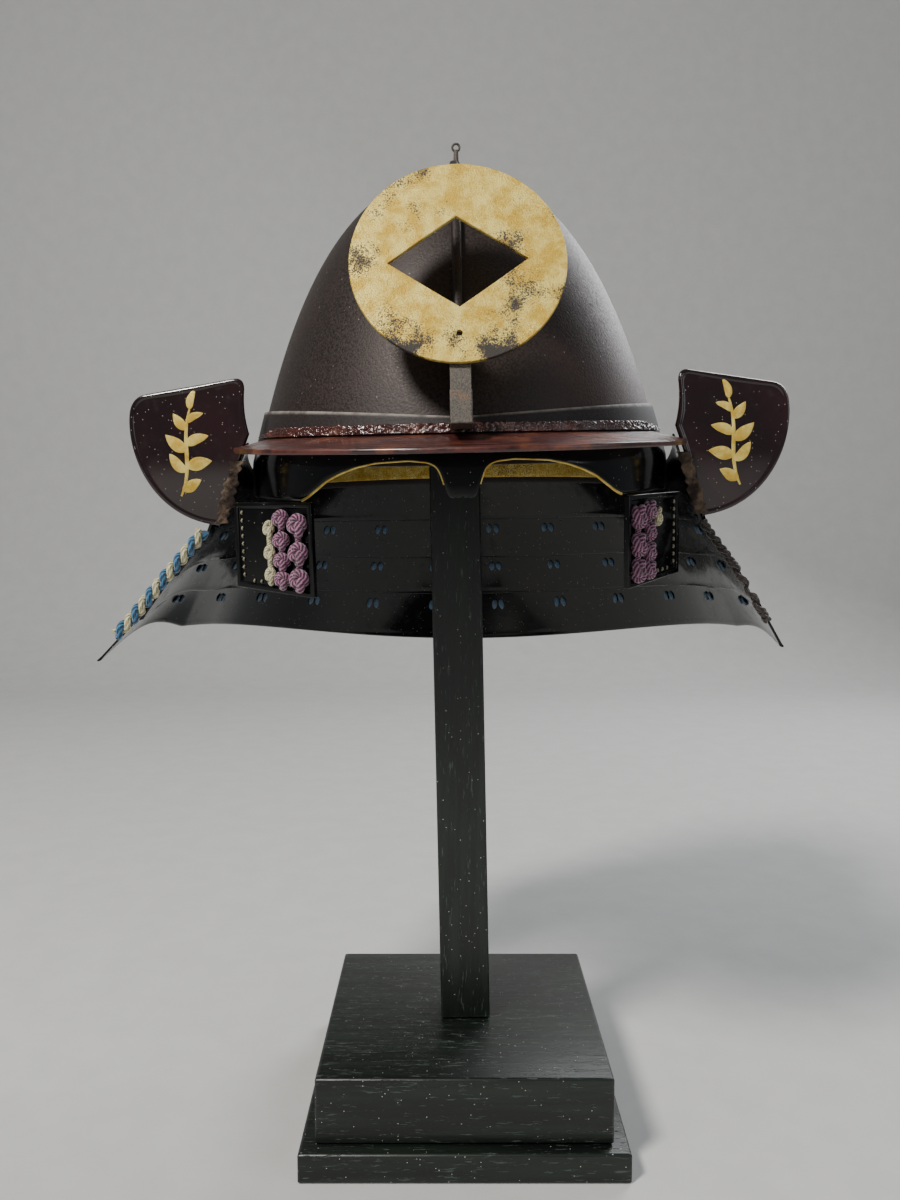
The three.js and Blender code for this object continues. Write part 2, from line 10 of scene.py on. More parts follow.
import bmesh
import bpy
import numpy as np
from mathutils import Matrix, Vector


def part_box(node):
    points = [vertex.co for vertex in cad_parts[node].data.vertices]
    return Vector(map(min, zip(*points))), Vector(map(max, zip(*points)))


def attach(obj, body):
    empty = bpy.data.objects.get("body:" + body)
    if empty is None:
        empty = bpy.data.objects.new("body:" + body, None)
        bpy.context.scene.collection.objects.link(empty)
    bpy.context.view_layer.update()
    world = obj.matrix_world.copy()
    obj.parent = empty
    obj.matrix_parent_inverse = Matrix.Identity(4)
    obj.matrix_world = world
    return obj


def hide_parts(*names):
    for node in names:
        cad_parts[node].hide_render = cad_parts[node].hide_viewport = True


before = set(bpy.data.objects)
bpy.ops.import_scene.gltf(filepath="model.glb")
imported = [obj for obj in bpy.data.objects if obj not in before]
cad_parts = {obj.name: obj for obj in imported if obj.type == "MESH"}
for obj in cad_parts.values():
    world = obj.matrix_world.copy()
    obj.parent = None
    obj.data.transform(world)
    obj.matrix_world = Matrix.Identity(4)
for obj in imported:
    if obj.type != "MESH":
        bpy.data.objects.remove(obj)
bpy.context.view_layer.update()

# %% [markdown]
# The camera stands a good half metre in front of the brow band and looks very slightly down. A lens of
# about 31 mm takes in the whole stand from so close, which makes the base look wide and the bowl tall.

# %% Camera
camera_data = bpy.data.cameras.new("front_camera")
camera_data.lens = 30.63
camera = bpy.data.objects.new("front_camera", camera_data)
camera.location = (-0.0074, -0.573, 0.331)
camera.rotation_euler = (math.radians(85.7), 0.0, 0.0)
bpy.context.collection.objects.link(camera)
bpy.context.scene.camera = camera
print("camera at", tuple(round(c, 3) for c in camera.location))

# %% [markdown]
# Everything on the helmet is worked out in the helmet's own frame, in millimetres: x across, y towards
# the back, z up from the middle of the bowl's rim. The post leans a little to one side and the helmet
# sits nose down on it, so one function turns such points by both angles and puts them over the stand.

# %% Helmet and crest frames
MM = 0.001
LEAN, PITCH, CREST_LEAN = map(math.radians, (1.2, 4.4, 20.8))
stand_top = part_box("base_upper")[1][2] / MM
rim_height = 366.0


def about_x(angle):
    c, s = math.cos(angle), math.sin(angle)
    return np.array([[1, 0, 0], [0, c, -s], [0, s, c]])


def about_y(angle):
    c, s = math.cos(angle), math.sin(angle)
    return np.array([[c, 0, s], [0, 1, 0], [-s, 0, c]])


def on_post(points):
    """Points in the leaning post's frame, in millimetres, to metres in the room."""
    return (np.asarray(points) @ about_y(-LEAN).T + (1.5, 0, stand_top)) * MM


def on_helmet(points):
    """Points in the helmet's frame, in millimetres: pitched nose down, then carried over the post."""
    return on_post(np.asarray(points) @ about_x(PITCH).T + (2.7, 0, rim_height - stand_top))


def on_crest(points):
    """Points in the crest's plane (x across, y up its lean, z out of its face) to metres in the room."""
    return on_helmet(np.asarray(points) @ about_x(math.pi / 2 - CREST_LEAN).T + (0, -117.7, 86.0))


print("rim centre:", np.round(on_helmet((0, 0, 0)), 4))

# %% [markdown]
# Almost every piece is one idea: a closed loop carried along a path. For a plate the loop is its cross
# section with rounded edges, for a cord it is a circle, and for a bowl the loops stand round the crown.
# One function sews such loops into a closed mesh and checks by its volume that the faces point outwards.

# %% Meshes from loops
def sew(name, loops, ring=False, across=None, along=None, place=on_helmet, sharp=35):
    """Quads between neighbouring loops, loops[i, j] being point j of loop i, with two flat ends or none.
    The UV map runs along the path and across the loop. Faces are turned round if the volume is negative."""
    count, around = loops.shape[:2]
    points = place(loops.reshape(-1, 3))
    i = np.arange(count if ring else count - 1)[:, None]
    j = np.arange(around)[None, :]
    here, onward, nextj = i * around, (i + 1) % count * around, (j + 1) % around
    quads = np.stack([here + j, here + nextj, onward + nextj, onward + j], axis=-1).reshape(-1, 4)
    u = np.linspace(0, 1, count + ring) if along is None else np.asarray(along, dtype=float)
    v = np.linspace(0, 1, around + 1) if across is None else np.append(across, across[0])
    corner_u = np.stack(np.broadcast_arrays(u[i], u[i], u[i + 1], u[i + 1], v[j])[:4], axis=-1)
    corner_v = np.stack(np.broadcast_arrays(v[j], v[j + 1], v[j + 1], v[j], u[i])[:4], axis=-1)
    uv = np.stack([corner_u, corner_v], axis=-1).reshape(-1, 2)
    a, b, c, d = (points[quads[:, k]] for k in range(4))
    volume = np.einsum("ij,ij->", a, np.cross(b, c)) + np.einsum("ij,ij->", a, np.cross(c, d))
    faces = quads.tolist()
    if not ring:
        ends = [list(range(around))[::-1], list(range((count - 1) * around, count * around))]
        for end in ends:
            fan = points[end]
            volume += np.einsum("j,ij->", fan[0], np.cross(fan[1:-1], fan[2:]))
        faces += ends
        uv = np.concatenate([uv, np.zeros((2 * around, 2))])
    mesh = bpy.data.meshes.new(name)
    mesh.from_pydata(points.tolist(), [], faces)
    mesh.uv_layers.new(name="UVMap").data.foreach_set("uv", uv.ravel())
    if volume < 0:
        mesh.flip_normals()
    return finish_mesh(name, mesh, sharp)


def finish_mesh(name, mesh, sharp=35):
    """Merges points that coincide, as at a pole, and shades smooth up to the given angle."""
    work = bmesh.new()
    work.from_mesh(mesh)
    bmesh.ops.remove_doubles(work, verts=work.verts, dist=1e-7)
    work.to_mesh(mesh)
    work.free()
    mesh.shade_smooth()
    mesh.set_sharp_from_angle(angle=math.radians(sharp))
    piece = bpy.data.objects.new(name, mesh)
    bpy.context.collection.objects.link(piece)
    return piece


def stadium(count, edge):
    """The closed loop of a plate's section: places v from 0 to 1 down it and sides s from 0 (inner) to 1.
    edge is the share of the plate's depth that its rounded edges take at each end."""
    arc = np.linspace(0, np.pi, 7)[1:-1]
    straight = np.linspace(edge, 1 - edge, count)
    v = np.concatenate([straight, 1 - edge + edge * np.sin(arc), straight[::-1], edge - edge * np.sin(arc)])
    s = np.concatenate([np.ones(count), 0.5 + 0.5 * np.cos(arc), np.zeros(count), 0.5 - 0.5 * np.cos(arc)])
    return v, s


def unit(vectors):
    return vectors / np.linalg.norm(vectors, axis=-1, keepdims=True)


def tube(path, up, wide, thick=None, around=12, closed=False):
    """Loops of an ellipse, wide by thick, square to a path; up is the way that thick is measured."""
    ahead = np.roll(path, -1, axis=0) - np.roll(path, 1, axis=0) if closed else np.gradient(path, axis=0)
    side = unit(np.cross(unit(ahead), np.broadcast_to(up, path.shape)))
    lift = np.cross(side, unit(ahead))
    turn = 2 * np.pi * np.arange(around) / around
    thick = wide if thick is None else thick
    wide, thick = (np.broadcast_to(size, len(path))[:, None, None] for size in (wide, thick))
    return (path[:, None] + side[:, None] * wide * np.cos(turn)[None, :, None]
            + lift[:, None] * thick * np.sin(turn)[None, :, None])


def dress(piece, material, slot, *nodes, body="helmet"):
    """Gives a piece its finish and the body that it rides on, and hides the frame's nodes that it stands for."""
    piece.data.materials.append(material)
    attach(piece, body)
    if nodes:
        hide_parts(*nodes)
    print(f"{piece.name}: {len(piece.data.polygons)} faces")
    return piece


def softened(node, name, width, segments=3, cuts=0):
    """A copy of a node's mesh with its loose triangles merged, flat faces joined and edges rounded."""
    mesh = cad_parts[node].data.copy()
    mesh.materials.clear()
    work = bmesh.new()
    work.from_mesh(mesh)
    bmesh.ops.remove_doubles(work, verts=work.verts, dist=1e-6)
    bmesh.ops.dissolve_limit(work, angle_limit=math.radians(1), verts=work.verts, edges=work.edges)
    work.to_mesh(mesh)
    work.free()
    piece = finish_mesh(name, mesh, 30)
    bevel = piece.modifiers.new("softened_edges", "BEVEL")
    bevel.width = width * MM
    bevel.segments = segments
    bevel.limit_method = "ANGLE"
    bevel.angle_limit = math.radians(30)
    bevel.harden_normals = False
    return piece


# %% [markdown]
# Old finishes are never one flat colour. Four effects come back in them: clouds of tone, fine
# specks of dust, streaks along a grain, and edges rubbed by hands. The first three are node groups with their own
# inputs, so each finish mixes them in its own strength; the rubbed edges are worked out in the wood's material. The
# shader stays in the material.

# %% Effects as node groups
def node(tree, kind, **values):
    """Adds a shader node: a key that the node has is set on it, and any other key names an input."""
    made = tree.nodes.new("ShaderNode" + kind)
    for key, value in values.items():
        if key[0].islower():
            setattr(made, key, value)
            continue
        socket = made.inputs[key.replace("_", " ")]
        if isinstance(value, bpy.types.NodeSocket):
            tree.links.new(value, socket)
        else:
            socket.default_value = value
    return made


def effect(name, inputs):
    """An empty node group that takes a vector and named numbers, and puts out one mask."""
    group = bpy.data.node_groups.new(name, "ShaderNodeTree")
    group.interface.new_socket(name="Vector", in_out="INPUT", socket_type="NodeSocketVector")
    for title, value in inputs.items():
        group.interface.new_socket(name=title, in_out="INPUT", socket_type="NodeSocketFloat").default_value = value
    group.interface.new_socket(name="Mask", in_out="OUTPUT", socket_type="NodeSocketFloat")
    return group, group.nodes.new("NodeGroupInput").outputs, group.nodes.new("NodeGroupOutput").inputs["Mask"]


def ramp(tree, value, low, high, smooth=True):
    """0 below low, 1 above high, and a soft step between."""
    kind = "SMOOTHSTEP" if smooth else "LINEAR"
    made = node(tree, "MapRange", interpolation_type=kind, Value=value)
    for socket, limit in (("From Min", low), ("From Max", high)):
        if isinstance(limit, bpy.types.NodeSocket):
            tree.links.new(limit, made.inputs[socket])
        else:
            made.inputs[socket].default_value = limit
    return made.outputs["Result"]


clouds, given, out = effect("clouds", {"Scale": 20.0, "Low": 0.4, "High": 0.6})
cloud = node(clouds, "TexNoise", Vector=given["Vector"], Scale=given["Scale"], Detail=6.0, Roughness=0.6)
clouds.links.new(ramp(clouds, cloud.outputs["Fac"], given["Low"], given["High"]), out)

specks, given, out = effect("specks", {"Scale": 600.0, "Size": 0.2, "Share": 0.5})
speck = node(specks, "TexVoronoi", Vector=given["Vector"], Scale=given["Scale"])
near = node(specks, "Math", operation="LESS_THAN")
specks.links.new(speck.outputs["Distance"], near.inputs[0])
specks.links.new(given["Size"], near.inputs[1])
split = node(specks, "SeparateColor", Color=speck.outputs["Color"])
chosen = node(specks, "Math", operation="LESS_THAN")
specks.links.new(split.outputs[0], chosen.inputs[0])
specks.links.new(given["Share"], chosen.inputs[1])
both = node(specks, "Math", operation="MULTIPLY")
specks.links.new(near.outputs[0], both.inputs[0])
specks.links.new(chosen.outputs[0], both.inputs[1])
specks.links.new(both.outputs[0], out)

streaks, given, out = effect("streaks", {"Across": 300.0, "Along": 20.0, "Low": 0.4, "High": 0.6})
parts = node(streaks, "SeparateXYZ", Vector=given["Vector"])
stretched = node(streaks, "CombineXYZ")
for axis, scale in (("X", "Along"), ("Y", "Across"), ("Z", "Across")):
    scaled = node(streaks, "Math", operation="MULTIPLY")
    streaks.links.new(parts.outputs[axis], scaled.inputs[0])
    streaks.links.new(given[scale], scaled.inputs[1])
    streaks.links.new(scaled.outputs[0], stretched.inputs[axis])
streak = node(streaks, "TexNoise", Vector=stretched.outputs[0], Scale=1.0, Detail=5.0, Roughness=0.65)
streaks.links.new(ramp(streaks, streak.outputs["Fac"], given["Low"], given["High"]), out)
print("effects:", [g.name for g in bpy.data.node_groups])


# %% Mixing helpers
def tone(code):
    """A colour written as on a screen, rrggbb, turned into the light values that shaders count in."""
    screen = np.array([int(code[i:i + 2], 16) for i in (0, 2, 4)]) / 255
    light = np.where(screen <= 0.04045, screen / 12.92, ((screen + 0.055) / 1.055) ** 2.4)
    return (*light.tolist(), 1.0)


def use(tree, group, vector, **values):
    made = node(tree, "Group", node_tree=group)
    tree.links.new(vector, made.inputs["Vector"])
    for key, value in values.items():
        made.inputs[key].default_value = value
    return made.outputs["Mask"]


def mix(tree, factor, a, b):
    """Colour a where the factor is 0 and colour b where it is 1."""
    made = node(tree, "Mix", data_type="RGBA")
    tree.links.new(factor, made.inputs["Factor"])
    for slot, colour in ((6, a), (7, b)):
        if isinstance(colour, bpy.types.NodeSocket):
            tree.links.new(colour, made.inputs[slot])
        else:
            made.inputs[slot].default_value = colour
    return made.outputs[2]


def calc(tree, operation, a, b=0.0):
    made = node(tree, "Math", operation=operation)
    for socket, value in zip(made.inputs, (a, b)):
        if isinstance(value, bpy.types.NodeSocket):
            tree.links.new(value, socket)
        else:
            socket.default_value = value
    return made.outputs[0]


def between(tree, factor, low, high):
    """A number that goes from low to high as the factor goes from 0 to 1."""
    made = node(tree, "MapRange", Value=factor)
    made.inputs["To Min"].default_value = low
    made.inputs["To Max"].default_value = high
    return made.outputs["Result"]


def new_finish(name, **fixed):
    """A material with its Principled shader, whose fixed inputs are set straight on it."""
    material = bpy.data.materials.new(name)
    material.use_nodes = True
    tree = material.node_tree
    shader = tree.nodes["Principled BSDF"]
    for key, value in fixed.items():
        shader.inputs[key.replace("_", " ")].default_value = value
    coordinates = tree.nodes.new("ShaderNodeTexCoord")
    return material, tree, shader, coordinates.outputs["Object"], coordinates.outputs["UV"]


def relief(tree, shader, height, distance, strength=1.0):
    """Bump from a height mask, the distance being how deep it goes in millimetres."""
    bump = node(tree, "Bump", Strength=strength, Distance=distance * MM)
    tree.links.new(height, bump.inputs["Height"])
    tree.links.new(bump.outputs["Normal"], shader.inputs["Normal"])


# %% [markdown]
# The bowl is iron under a thin russet lacquer that was mixed with fine powder, so it feels like sand. It
# isn't shiny: light spreads over it in a wide soft patch. Brown shows in clouds, red on the right side, most of
# all low down, and the grain is a bump far too small for geometry.

# %% Russet iron
def russet_iron():
    material, tree, shader, place, _ = new_finish("russet_iron", Metallic=0.35, Specular_IOR_Level=0.4)
    worn = use(tree, clouds, place, Scale=14.0, Low=0.45, High=0.72)
    fine = use(tree, clouds, place, Scale=900.0, Low=0.3, High=0.75)
    parts = node(tree, "SeparateXYZ", Vector=place)
    right = ramp(tree, parts.outputs["X"], 0.02, 0.1)
    low = ramp(tree, parts.outputs["Z"], 0.47, 0.39)
    red = calc(tree, "MULTIPLY", right, calc(tree, "ADD", calc(tree, "MULTIPLY", low, 0.5), 0.35))
    body = mix(tree, worn, tone("1c1616"), tone("2b211e"))
    body = mix(tree, red, body, tone("3a1c18"))
    body = mix(tree, calc(tree, "MULTIPLY", fine, 0.35), body, tone("5a4c44"))
    dust = use(tree, specks, place, Scale=420.0, Size=0.16, Share=0.06)
    tree.links.new(mix(tree, calc(tree, "MULTIPLY", dust, 0.35), body, tone("a89c8c")), shader.inputs["Base Color"])
    tree.links.new(between(tree, fine, 0.42, 0.62), shader.inputs["Roughness"])
    relief(tree, shader, fine, 0.12, 0.55)
    return material


def dark_iron():
    material, tree, shader, place, _ = new_finish("dark_iron", Metallic=0.45)
    rust = use(tree, clouds, place, Scale=90.0, Low=0.48, High=0.62)
    grain = use(tree, clouds, place, Scale=1400.0, Low=0.3, High=0.7)
    body = mix(tree, rust, tone("3a3734"), tone("55402f"))
    body = mix(tree, calc(tree, "MULTIPLY", grain, 0.5), body, tone("8c8378"))
    tree.links.new(body, shader.inputs["Base Color"])
    tree.links.new(between(tree, grain, 0.5, 0.75), shader.inputs["Roughness"])
    relief(tree, shader, grain, 0.15, 0.6)
    return material


# %% [markdown]
# Black lacquer is built up in many thin coats and polished, so it is almost a black mirror. Age leaves
# it a little uneven: a wavy bump bends the reflections, fine dust lies on it, and dull clouds show where
# it was handled. The ears' lacquer is the same but very dark brown. The visor's is red-brown, rubbed
# through in streaks that run with its edge.

# %% Lacquers
def lacquer(name, dark, warm, gloss=0.12, dust=0.1, wave=0.25, shine=0.25):
    material, tree, shader, place, uv = new_finish(name, Specular_IOR_Level=shine, Coat_Roughness=0.05)
    shader.inputs["Coat Weight"].default_value = shine * 0.6
    cloud = use(tree, clouds, place, Scale=30.0, Low=0.4, High=0.68)
    dull = use(tree, clouds, place, Scale=160.0, Low=0.46, High=0.7)
    fleck = use(tree, specks, place, Scale=700.0, Size=0.17, Share=dust)
    body = mix(tree, cloud, tone(dark), tone(warm))
    tree.links.new(mix(tree, calc(tree, "MULTIPLY", fleck, 0.5), body, tone("b9b4aa")), shader.inputs["Base Color"])
    rough = calc(tree, "MAXIMUM", between(tree, dull, gloss, gloss + 0.16), calc(tree, "MULTIPLY", fleck, 0.6))
    tree.links.new(rough, shader.inputs["Roughness"])
    ripple = node(tree, "TexNoise", Vector=place, Scale=35.0, Detail=2.0)
    relief(tree, shader, ripple.outputs["Fac"], wave, 0.6)
    return material


def band_finish():
    """Black lacquer below, and above the flange the same russet iron as the bowl, with a pale painted highlight along
    its top edge.
    The band's UV map tells where: its second value is a half at the flange and 1 on the top edge."""
    material, tree, shader, place, uv = new_finish("band_lacquer", Specular_IOR_Level=0.3)
    parts = node(tree, "SeparateXYZ", Vector=uv)
    upper = ramp(tree, parts.outputs["Y"], 0.5, 0.53)
    away = calc(tree, "ABSOLUTE", calc(tree, "SUBTRACT", parts.outputs["X"], 0.5))
    iron = calc(tree, "MAXIMUM", upper, ramp(tree, away, 0.31, 0.3))
    fine = use(tree, clouds, place, Scale=900.0, Low=0.3, High=0.75)
    highlight_breakup = use(tree, clouds, place, Scale=70.0, Low=0.4, High=0.6)
    matt = mix(tree, calc(tree, "MULTIPLY", fine, 0.3), tone("1b1516"), tone("4a3f3b"))
    # A pale painted highlight along the band's top edge, broken up in clouds.
    edge = calc(tree, "MULTIPLY", ramp(tree, parts.outputs["Y"], 0.93, 0.99), between(tree, highlight_breakup, 0.25, 0.8))
    matt = mix(tree, edge, matt, tone("9a928a"))
    fleck = use(tree, specks, place, Scale=700.0, Size=0.17, Share=0.12)
    gloss = mix(tree, calc(tree, "MULTIPLY", fleck, 0.5), tone("060608"), tone("b9b4aa"))
    tree.links.new(mix(tree, iron, gloss, matt), shader.inputs["Base Color"])
    tree.links.new(between(tree, iron, 0.14, 0.55), shader.inputs["Roughness"])
    relief(tree, shader, calc(tree, "MULTIPLY", fine, iron), 0.12, 0.5)
    return material


def visor_lacquer(name, crinkled=False):
    material, tree, shader, place, uv = new_finish(name, Specular_IOR_Level=0.55, Coat_Roughness=0.12)
    shader.inputs["Coat Weight"].default_value = 0.6 if crinkled else 0.25
    run = node(tree, "Mapping", Vector=uv, Scale=(1.0, 0.25, 1.0))
    streak = use(tree, streaks, run.outputs[0], Across=90.0, Along=14.0, Low=0.42, High=0.62)
    patch = use(tree, clouds, place, Scale=55.0, Low=0.48, High=0.66)
    body = mix(tree, streak, tone("2a0f0b"), tone("55201a"))
    worn = calc(tree, "MULTIPLY", patch, 0.35 if crinkled else 0.7)
    body = mix(tree, worn, body, tone("7c4326"))
    grain = use(tree, clouds, place, Scale=700.0, Low=0.4, High=0.7)
    body = mix(tree, calc(tree, "MULTIPLY", grain, 0.25), body, tone("1a0807"))
    tree.links.new(body, shader.inputs["Base Color"])
    rough = between(tree, patch, 0.16, 0.3) if crinkled else between(tree, streak, 0.3, 0.5)
    tree.links.new(rough, shader.inputs["Roughness"])
    relief(tree, shader, grain if crinkled else streak, 0.3, 0.5)
    return material


# %% [markdown]
# The disc was covered with gold leaf over dark lacquer. The leaf has rubbed through in grains and
# patches, with more dark at the upper right and near the foot, where it turns reddish. The lining inside
# the rim was gilded too, now a dull mustard colour.

# %% Gold leaf
def gold_leaf(name, lost, dull=0.0, worn_places=0.0):
    material, tree, shader, place, _ = new_finish(name)
    ground = use(tree, clouds, place, Scale=38.0, Low=0.46, High=0.7)
    grain = use(tree, clouds, place, Scale=1500.0, Low=0.42, High=0.62)
    parts = node(tree, "SeparateXYZ", Vector=place)
    upper_right = calc(tree, "MULTIPLY", ramp(tree, parts.outputs["X"], -0.02, 0.03), ramp(tree, parts.outputs["Z"], 0.44, 0.475))
    low = ramp(tree, parts.outputs["Z"], 0.415, 0.4)
    more = calc(tree, "MULTIPLY", calc(tree, "ADD", upper_right, low), worn_places)
    patch = calc(tree, "MULTIPLY", ground, calc(tree, "ADD", more, lost))
    bare = ramp(tree, calc(tree, "ADD", patch, calc(tree, "MULTIPLY", grain, 0.42)), 0.34, 0.72)
    tint = use(tree, clouds, place, Scale=130.0, Low=0.35, High=0.65)
    leaf = mix(tree, tint, tone("c8a33a"), tone("e6cf74"))
    leaf = mix(tree, calc(tree, "MULTIPLY", grain, dull), leaf, tone("6e4f18"))
    red = use(tree, clouds, place, Scale=28.0, Low=0.55, High=0.7)
    under = mix(tree, red, tone("332b26"), tone("54261a"))
    tree.links.new(mix(tree, bare, leaf, under), shader.inputs["Base Color"])
    tree.links.new(between(tree, bare, 0.55, 0.0), shader.inputs["Metallic"])
    tree.links.new(between(tree, bare, 0.42, 0.6), shader.inputs["Roughness"])
    relief(tree, shader, calc(tree, "SUBTRACT", grain, bare), 0.2, 0.6)
    return material


# %% [markdown]
# Silk cord is many fine threads plaited at a slant. On a cord's own UV map the threads are stripes that
# cross both ways; where they cross, one lies over the other. The stripes give the bump and a second tone.

# %% Silk cord, leather and stained wood
def silk_cord(name, dark, light, turns=26.0, soil="3a2f2a"):
    material, tree, shader, place, uv = new_finish(name, Roughness=0.75, Sheen_Weight=0.35, Sheen_Roughness=0.5)
    parts = node(tree, "SeparateXYZ", Vector=uv)
    along = calc(tree, "MULTIPLY", parts.outputs["X"], turns * 2 * math.pi)
    around = calc(tree, "MULTIPLY", parts.outputs["Y"], 4 * 2 * math.pi)
    left = calc(tree, "SINE", calc(tree, "ADD", along, around))
    right = calc(tree, "SINE", calc(tree, "SUBTRACT", along, around))
    plait = calc(tree, "MAXIMUM", left, right)
    body = mix(tree, ramp(tree, left, -0.3, 0.6), tone(dark), tone(light))
    dirty = use(tree, clouds, place, Scale=160.0, Low=0.45, High=0.75)
    tree.links.new(mix(tree, calc(tree, "MULTIPLY", dirty, 0.5), body, tone(soil)), shader.inputs["Base Color"])
    relief(tree, shader, plait, 0.25, 0.8)
    return material


def torn_leather():
    material, tree, shader, place, _ = new_finish("torn_leather", Roughness=0.85, Specular_IOR_Level=0.3)
    patch = use(tree, clouds, place, Scale=110.0, Low=0.4, High=0.62)
    pore = use(tree, clouds, place, Scale=1100.0, Low=0.35, High=0.7)
    body = mix(tree, patch, tone("2c211b"), tone("6b5a4a"))
    tree.links.new(mix(tree, calc(tree, "MULTIPLY", pore, 0.4), body, tone("17100d")), shader.inputs["Base Color"])
    relief(tree, shader, calc(tree, "ADD", patch, calc(tree, "MULTIPLY", pore, 0.4)), 0.5, 0.8)
    return material


def stained_wood(name, turn=(0.0, 0.0, 0.0)):
    material, tree, shader, place, _ = new_finish(name, Specular_IOR_Level=0.5)
    laid = node(tree, "Mapping", Vector=place, Rotation=turn)
    pores = use(tree, streaks, laid.outputs[0], Across=900.0, Along=110.0, Low=0.59, High=0.66)
    broad = use(tree, streaks, laid.outputs[0], Across=140.0, Along=9.0, Low=0.35, High=0.7)
    fleck = use(tree, specks, place, Scale=620.0, Size=0.14, Share=0.1)
    body = mix(tree, broad, tone("0d110f"), tone("182019"))
    body = mix(tree, calc(tree, "MULTIPLY", pores, 0.6), body, tone("4c5852"))
    smooth = node(tree, "Bevel", samples=6, Radius=2.2 * MM)
    flat = tree.nodes.new("ShaderNodeNewGeometry")
    level = node(tree, "VectorMath", operation="DOT_PRODUCT")
    tree.links.new(smooth.outputs[0], level.inputs[0])
    tree.links.new(flat.outputs["Normal"], level.inputs[1])
    scuffed = use(tree, clouds, place, Scale=60.0, Low=0.45, High=0.6)
    edge = calc(tree, "MULTIPLY", ramp(tree, level.outputs["Value"], 0.96, 0.8), scuffed)
    body = mix(tree, calc(tree, "MULTIPLY", edge, 0.45), body, tone("7d8078"))
    tree.links.new(mix(tree, fleck, body, tone("c9c9c2")), shader.inputs["Base Color"])
    tree.links.new(between(tree, pores, 0.36, 0.6), shader.inputs["Roughness"])
    relief(tree, shader, calc(tree, "SUBTRACT", calc(tree, "MULTIPLY", broad, 0.4), pores), 0.3, 0.6)
    return material


iron_coat, plain_iron = russet_iron(), dark_iron()
black = lacquer("black_lacquer", "050507", "0a0909", dust=0.12)
brown = lacquer("brown_lacquer", "1a0b0c", "241013", gloss=0.1, dust=0.2, shine=0.5)
band_coat = band_finish()
visor_coat, flange_coat = visor_lacquer("visor_lacquer"), visor_lacquer("crinkled_lacquer", crinkled=True)
leaf, old_gilt = gold_leaf("gold_leaf", 0.66, worn_places=0.35), gold_leaf("gilt_lining", 0.3, dull=0.6)
brushed_gold = gold_leaf("brushed_gold", 0.12)
purple = silk_cord("purple_cord", "3d142b", "a56c8e", turns=30.0)
cream = silk_cord("cream_cord", "a39a72", "d8d2ae")
blue = silk_cord("blue_cord", "0f3550", "2f78a3")
# Painted shade: the right edge's blue and cream lacing, coloured dark brown where it lies in shade.
shaded_silk = silk_cord("brown_cord", "17100e", "3a2b22")
hide = torn_leather()
wood = stained_wood("stained_wood")
upright_wood = stained_wood("stained_wood_upright", turn=(0.0, math.radians(90), 0.0))
print("finishes:", len(bpy.data.materials))

# %% [markdown]
# The bowl is peach-shaped: one Bezier profile, wider at the shoulders than a dome and drawn up to the
# crown, turned round an oval that is longer than it is wide. Turning a profile is a grid of two
# parameters, the azimuth and the place t on the profile, and the wall's inner face is the same profile
# shrunk by its thickness.

# %% Bowl formulas
HALF_WIDTH, LONGER, BOWL_HEIGHT = 110.5, 122 / 110.5, 151.0


def bowl_profile(t, inset=0.0):
    """Half width and height at t, from rim 0 to crown 1: a Bezier curve through rim, (97, 50), (71, top)."""
    wide, tall = HALF_WIDTH - inset, BOWL_HEIGHT - inset
    out = (1 - t) ** 3 * wide + 3 * (1 - t) ** 2 * t * (97 - inset) + 3 * (1 - t) * t ** 2 * (71 - inset)
    up = 3 * (1 - t) ** 2 * t * 50 + (3 * (1 - t) * t ** 2 + t ** 3) * tall
    return out, up


def bowl_reach(height, inset=0.0):
    """The bowl's half width at a height; below the rim it stays as wide as the rim."""
    out, up = bowl_profile(np.linspace(0, 1, 2001), inset)
    return np.interp(np.maximum(height, 0), up, out)


def round_bowl(azimuth, reach, height, extra=0.0):
    """Points round the helmet: azimuth 0 is the front and 90 the right as seen, in degrees. The oval is
    the sine and cosine of the azimuth times the reach, and extra moves a point out along its normal."""
    turn = np.radians(azimuth)
    normal = np.stack(np.broadcast_arrays(np.sin(turn) * LONGER, -np.cos(turn)), axis=-1)
    normal = unit(normal)
    x = np.sin(turn) * reach + normal[..., 0] * extra
    y = -np.cos(turn) * reach * LONGER + normal[..., 1] * extra
    return np.stack(np.broadcast_arrays(x, y, height), axis=-1)


# %% Bowl shell and ridge
def bowl_shell():
    """Loops stand round the crown: up the outer profile, down the inner one, with a rounded rim."""
    up = np.linspace(0, 1, 56) ** 0.9
    azimuth = np.linspace(0, 360, 193)[:-1, None]
    outer_reach, outer_height = bowl_profile(up)
    inner_reach, inner_height = bowl_profile(up[::-1], 2.0)
    lip = np.linspace(np.pi, 2 * np.pi, 5)[1:-1]
    reach = np.concatenate([outer_reach, inner_reach, HALF_WIDTH - 1 + np.cos(lip)])
    height = np.concatenate([outer_height, inner_height, 0.4 * np.sin(lip)])
    return sew("bowl_shell", round_bowl(azimuth, reach[None, :], height[None, :]), ring=True)


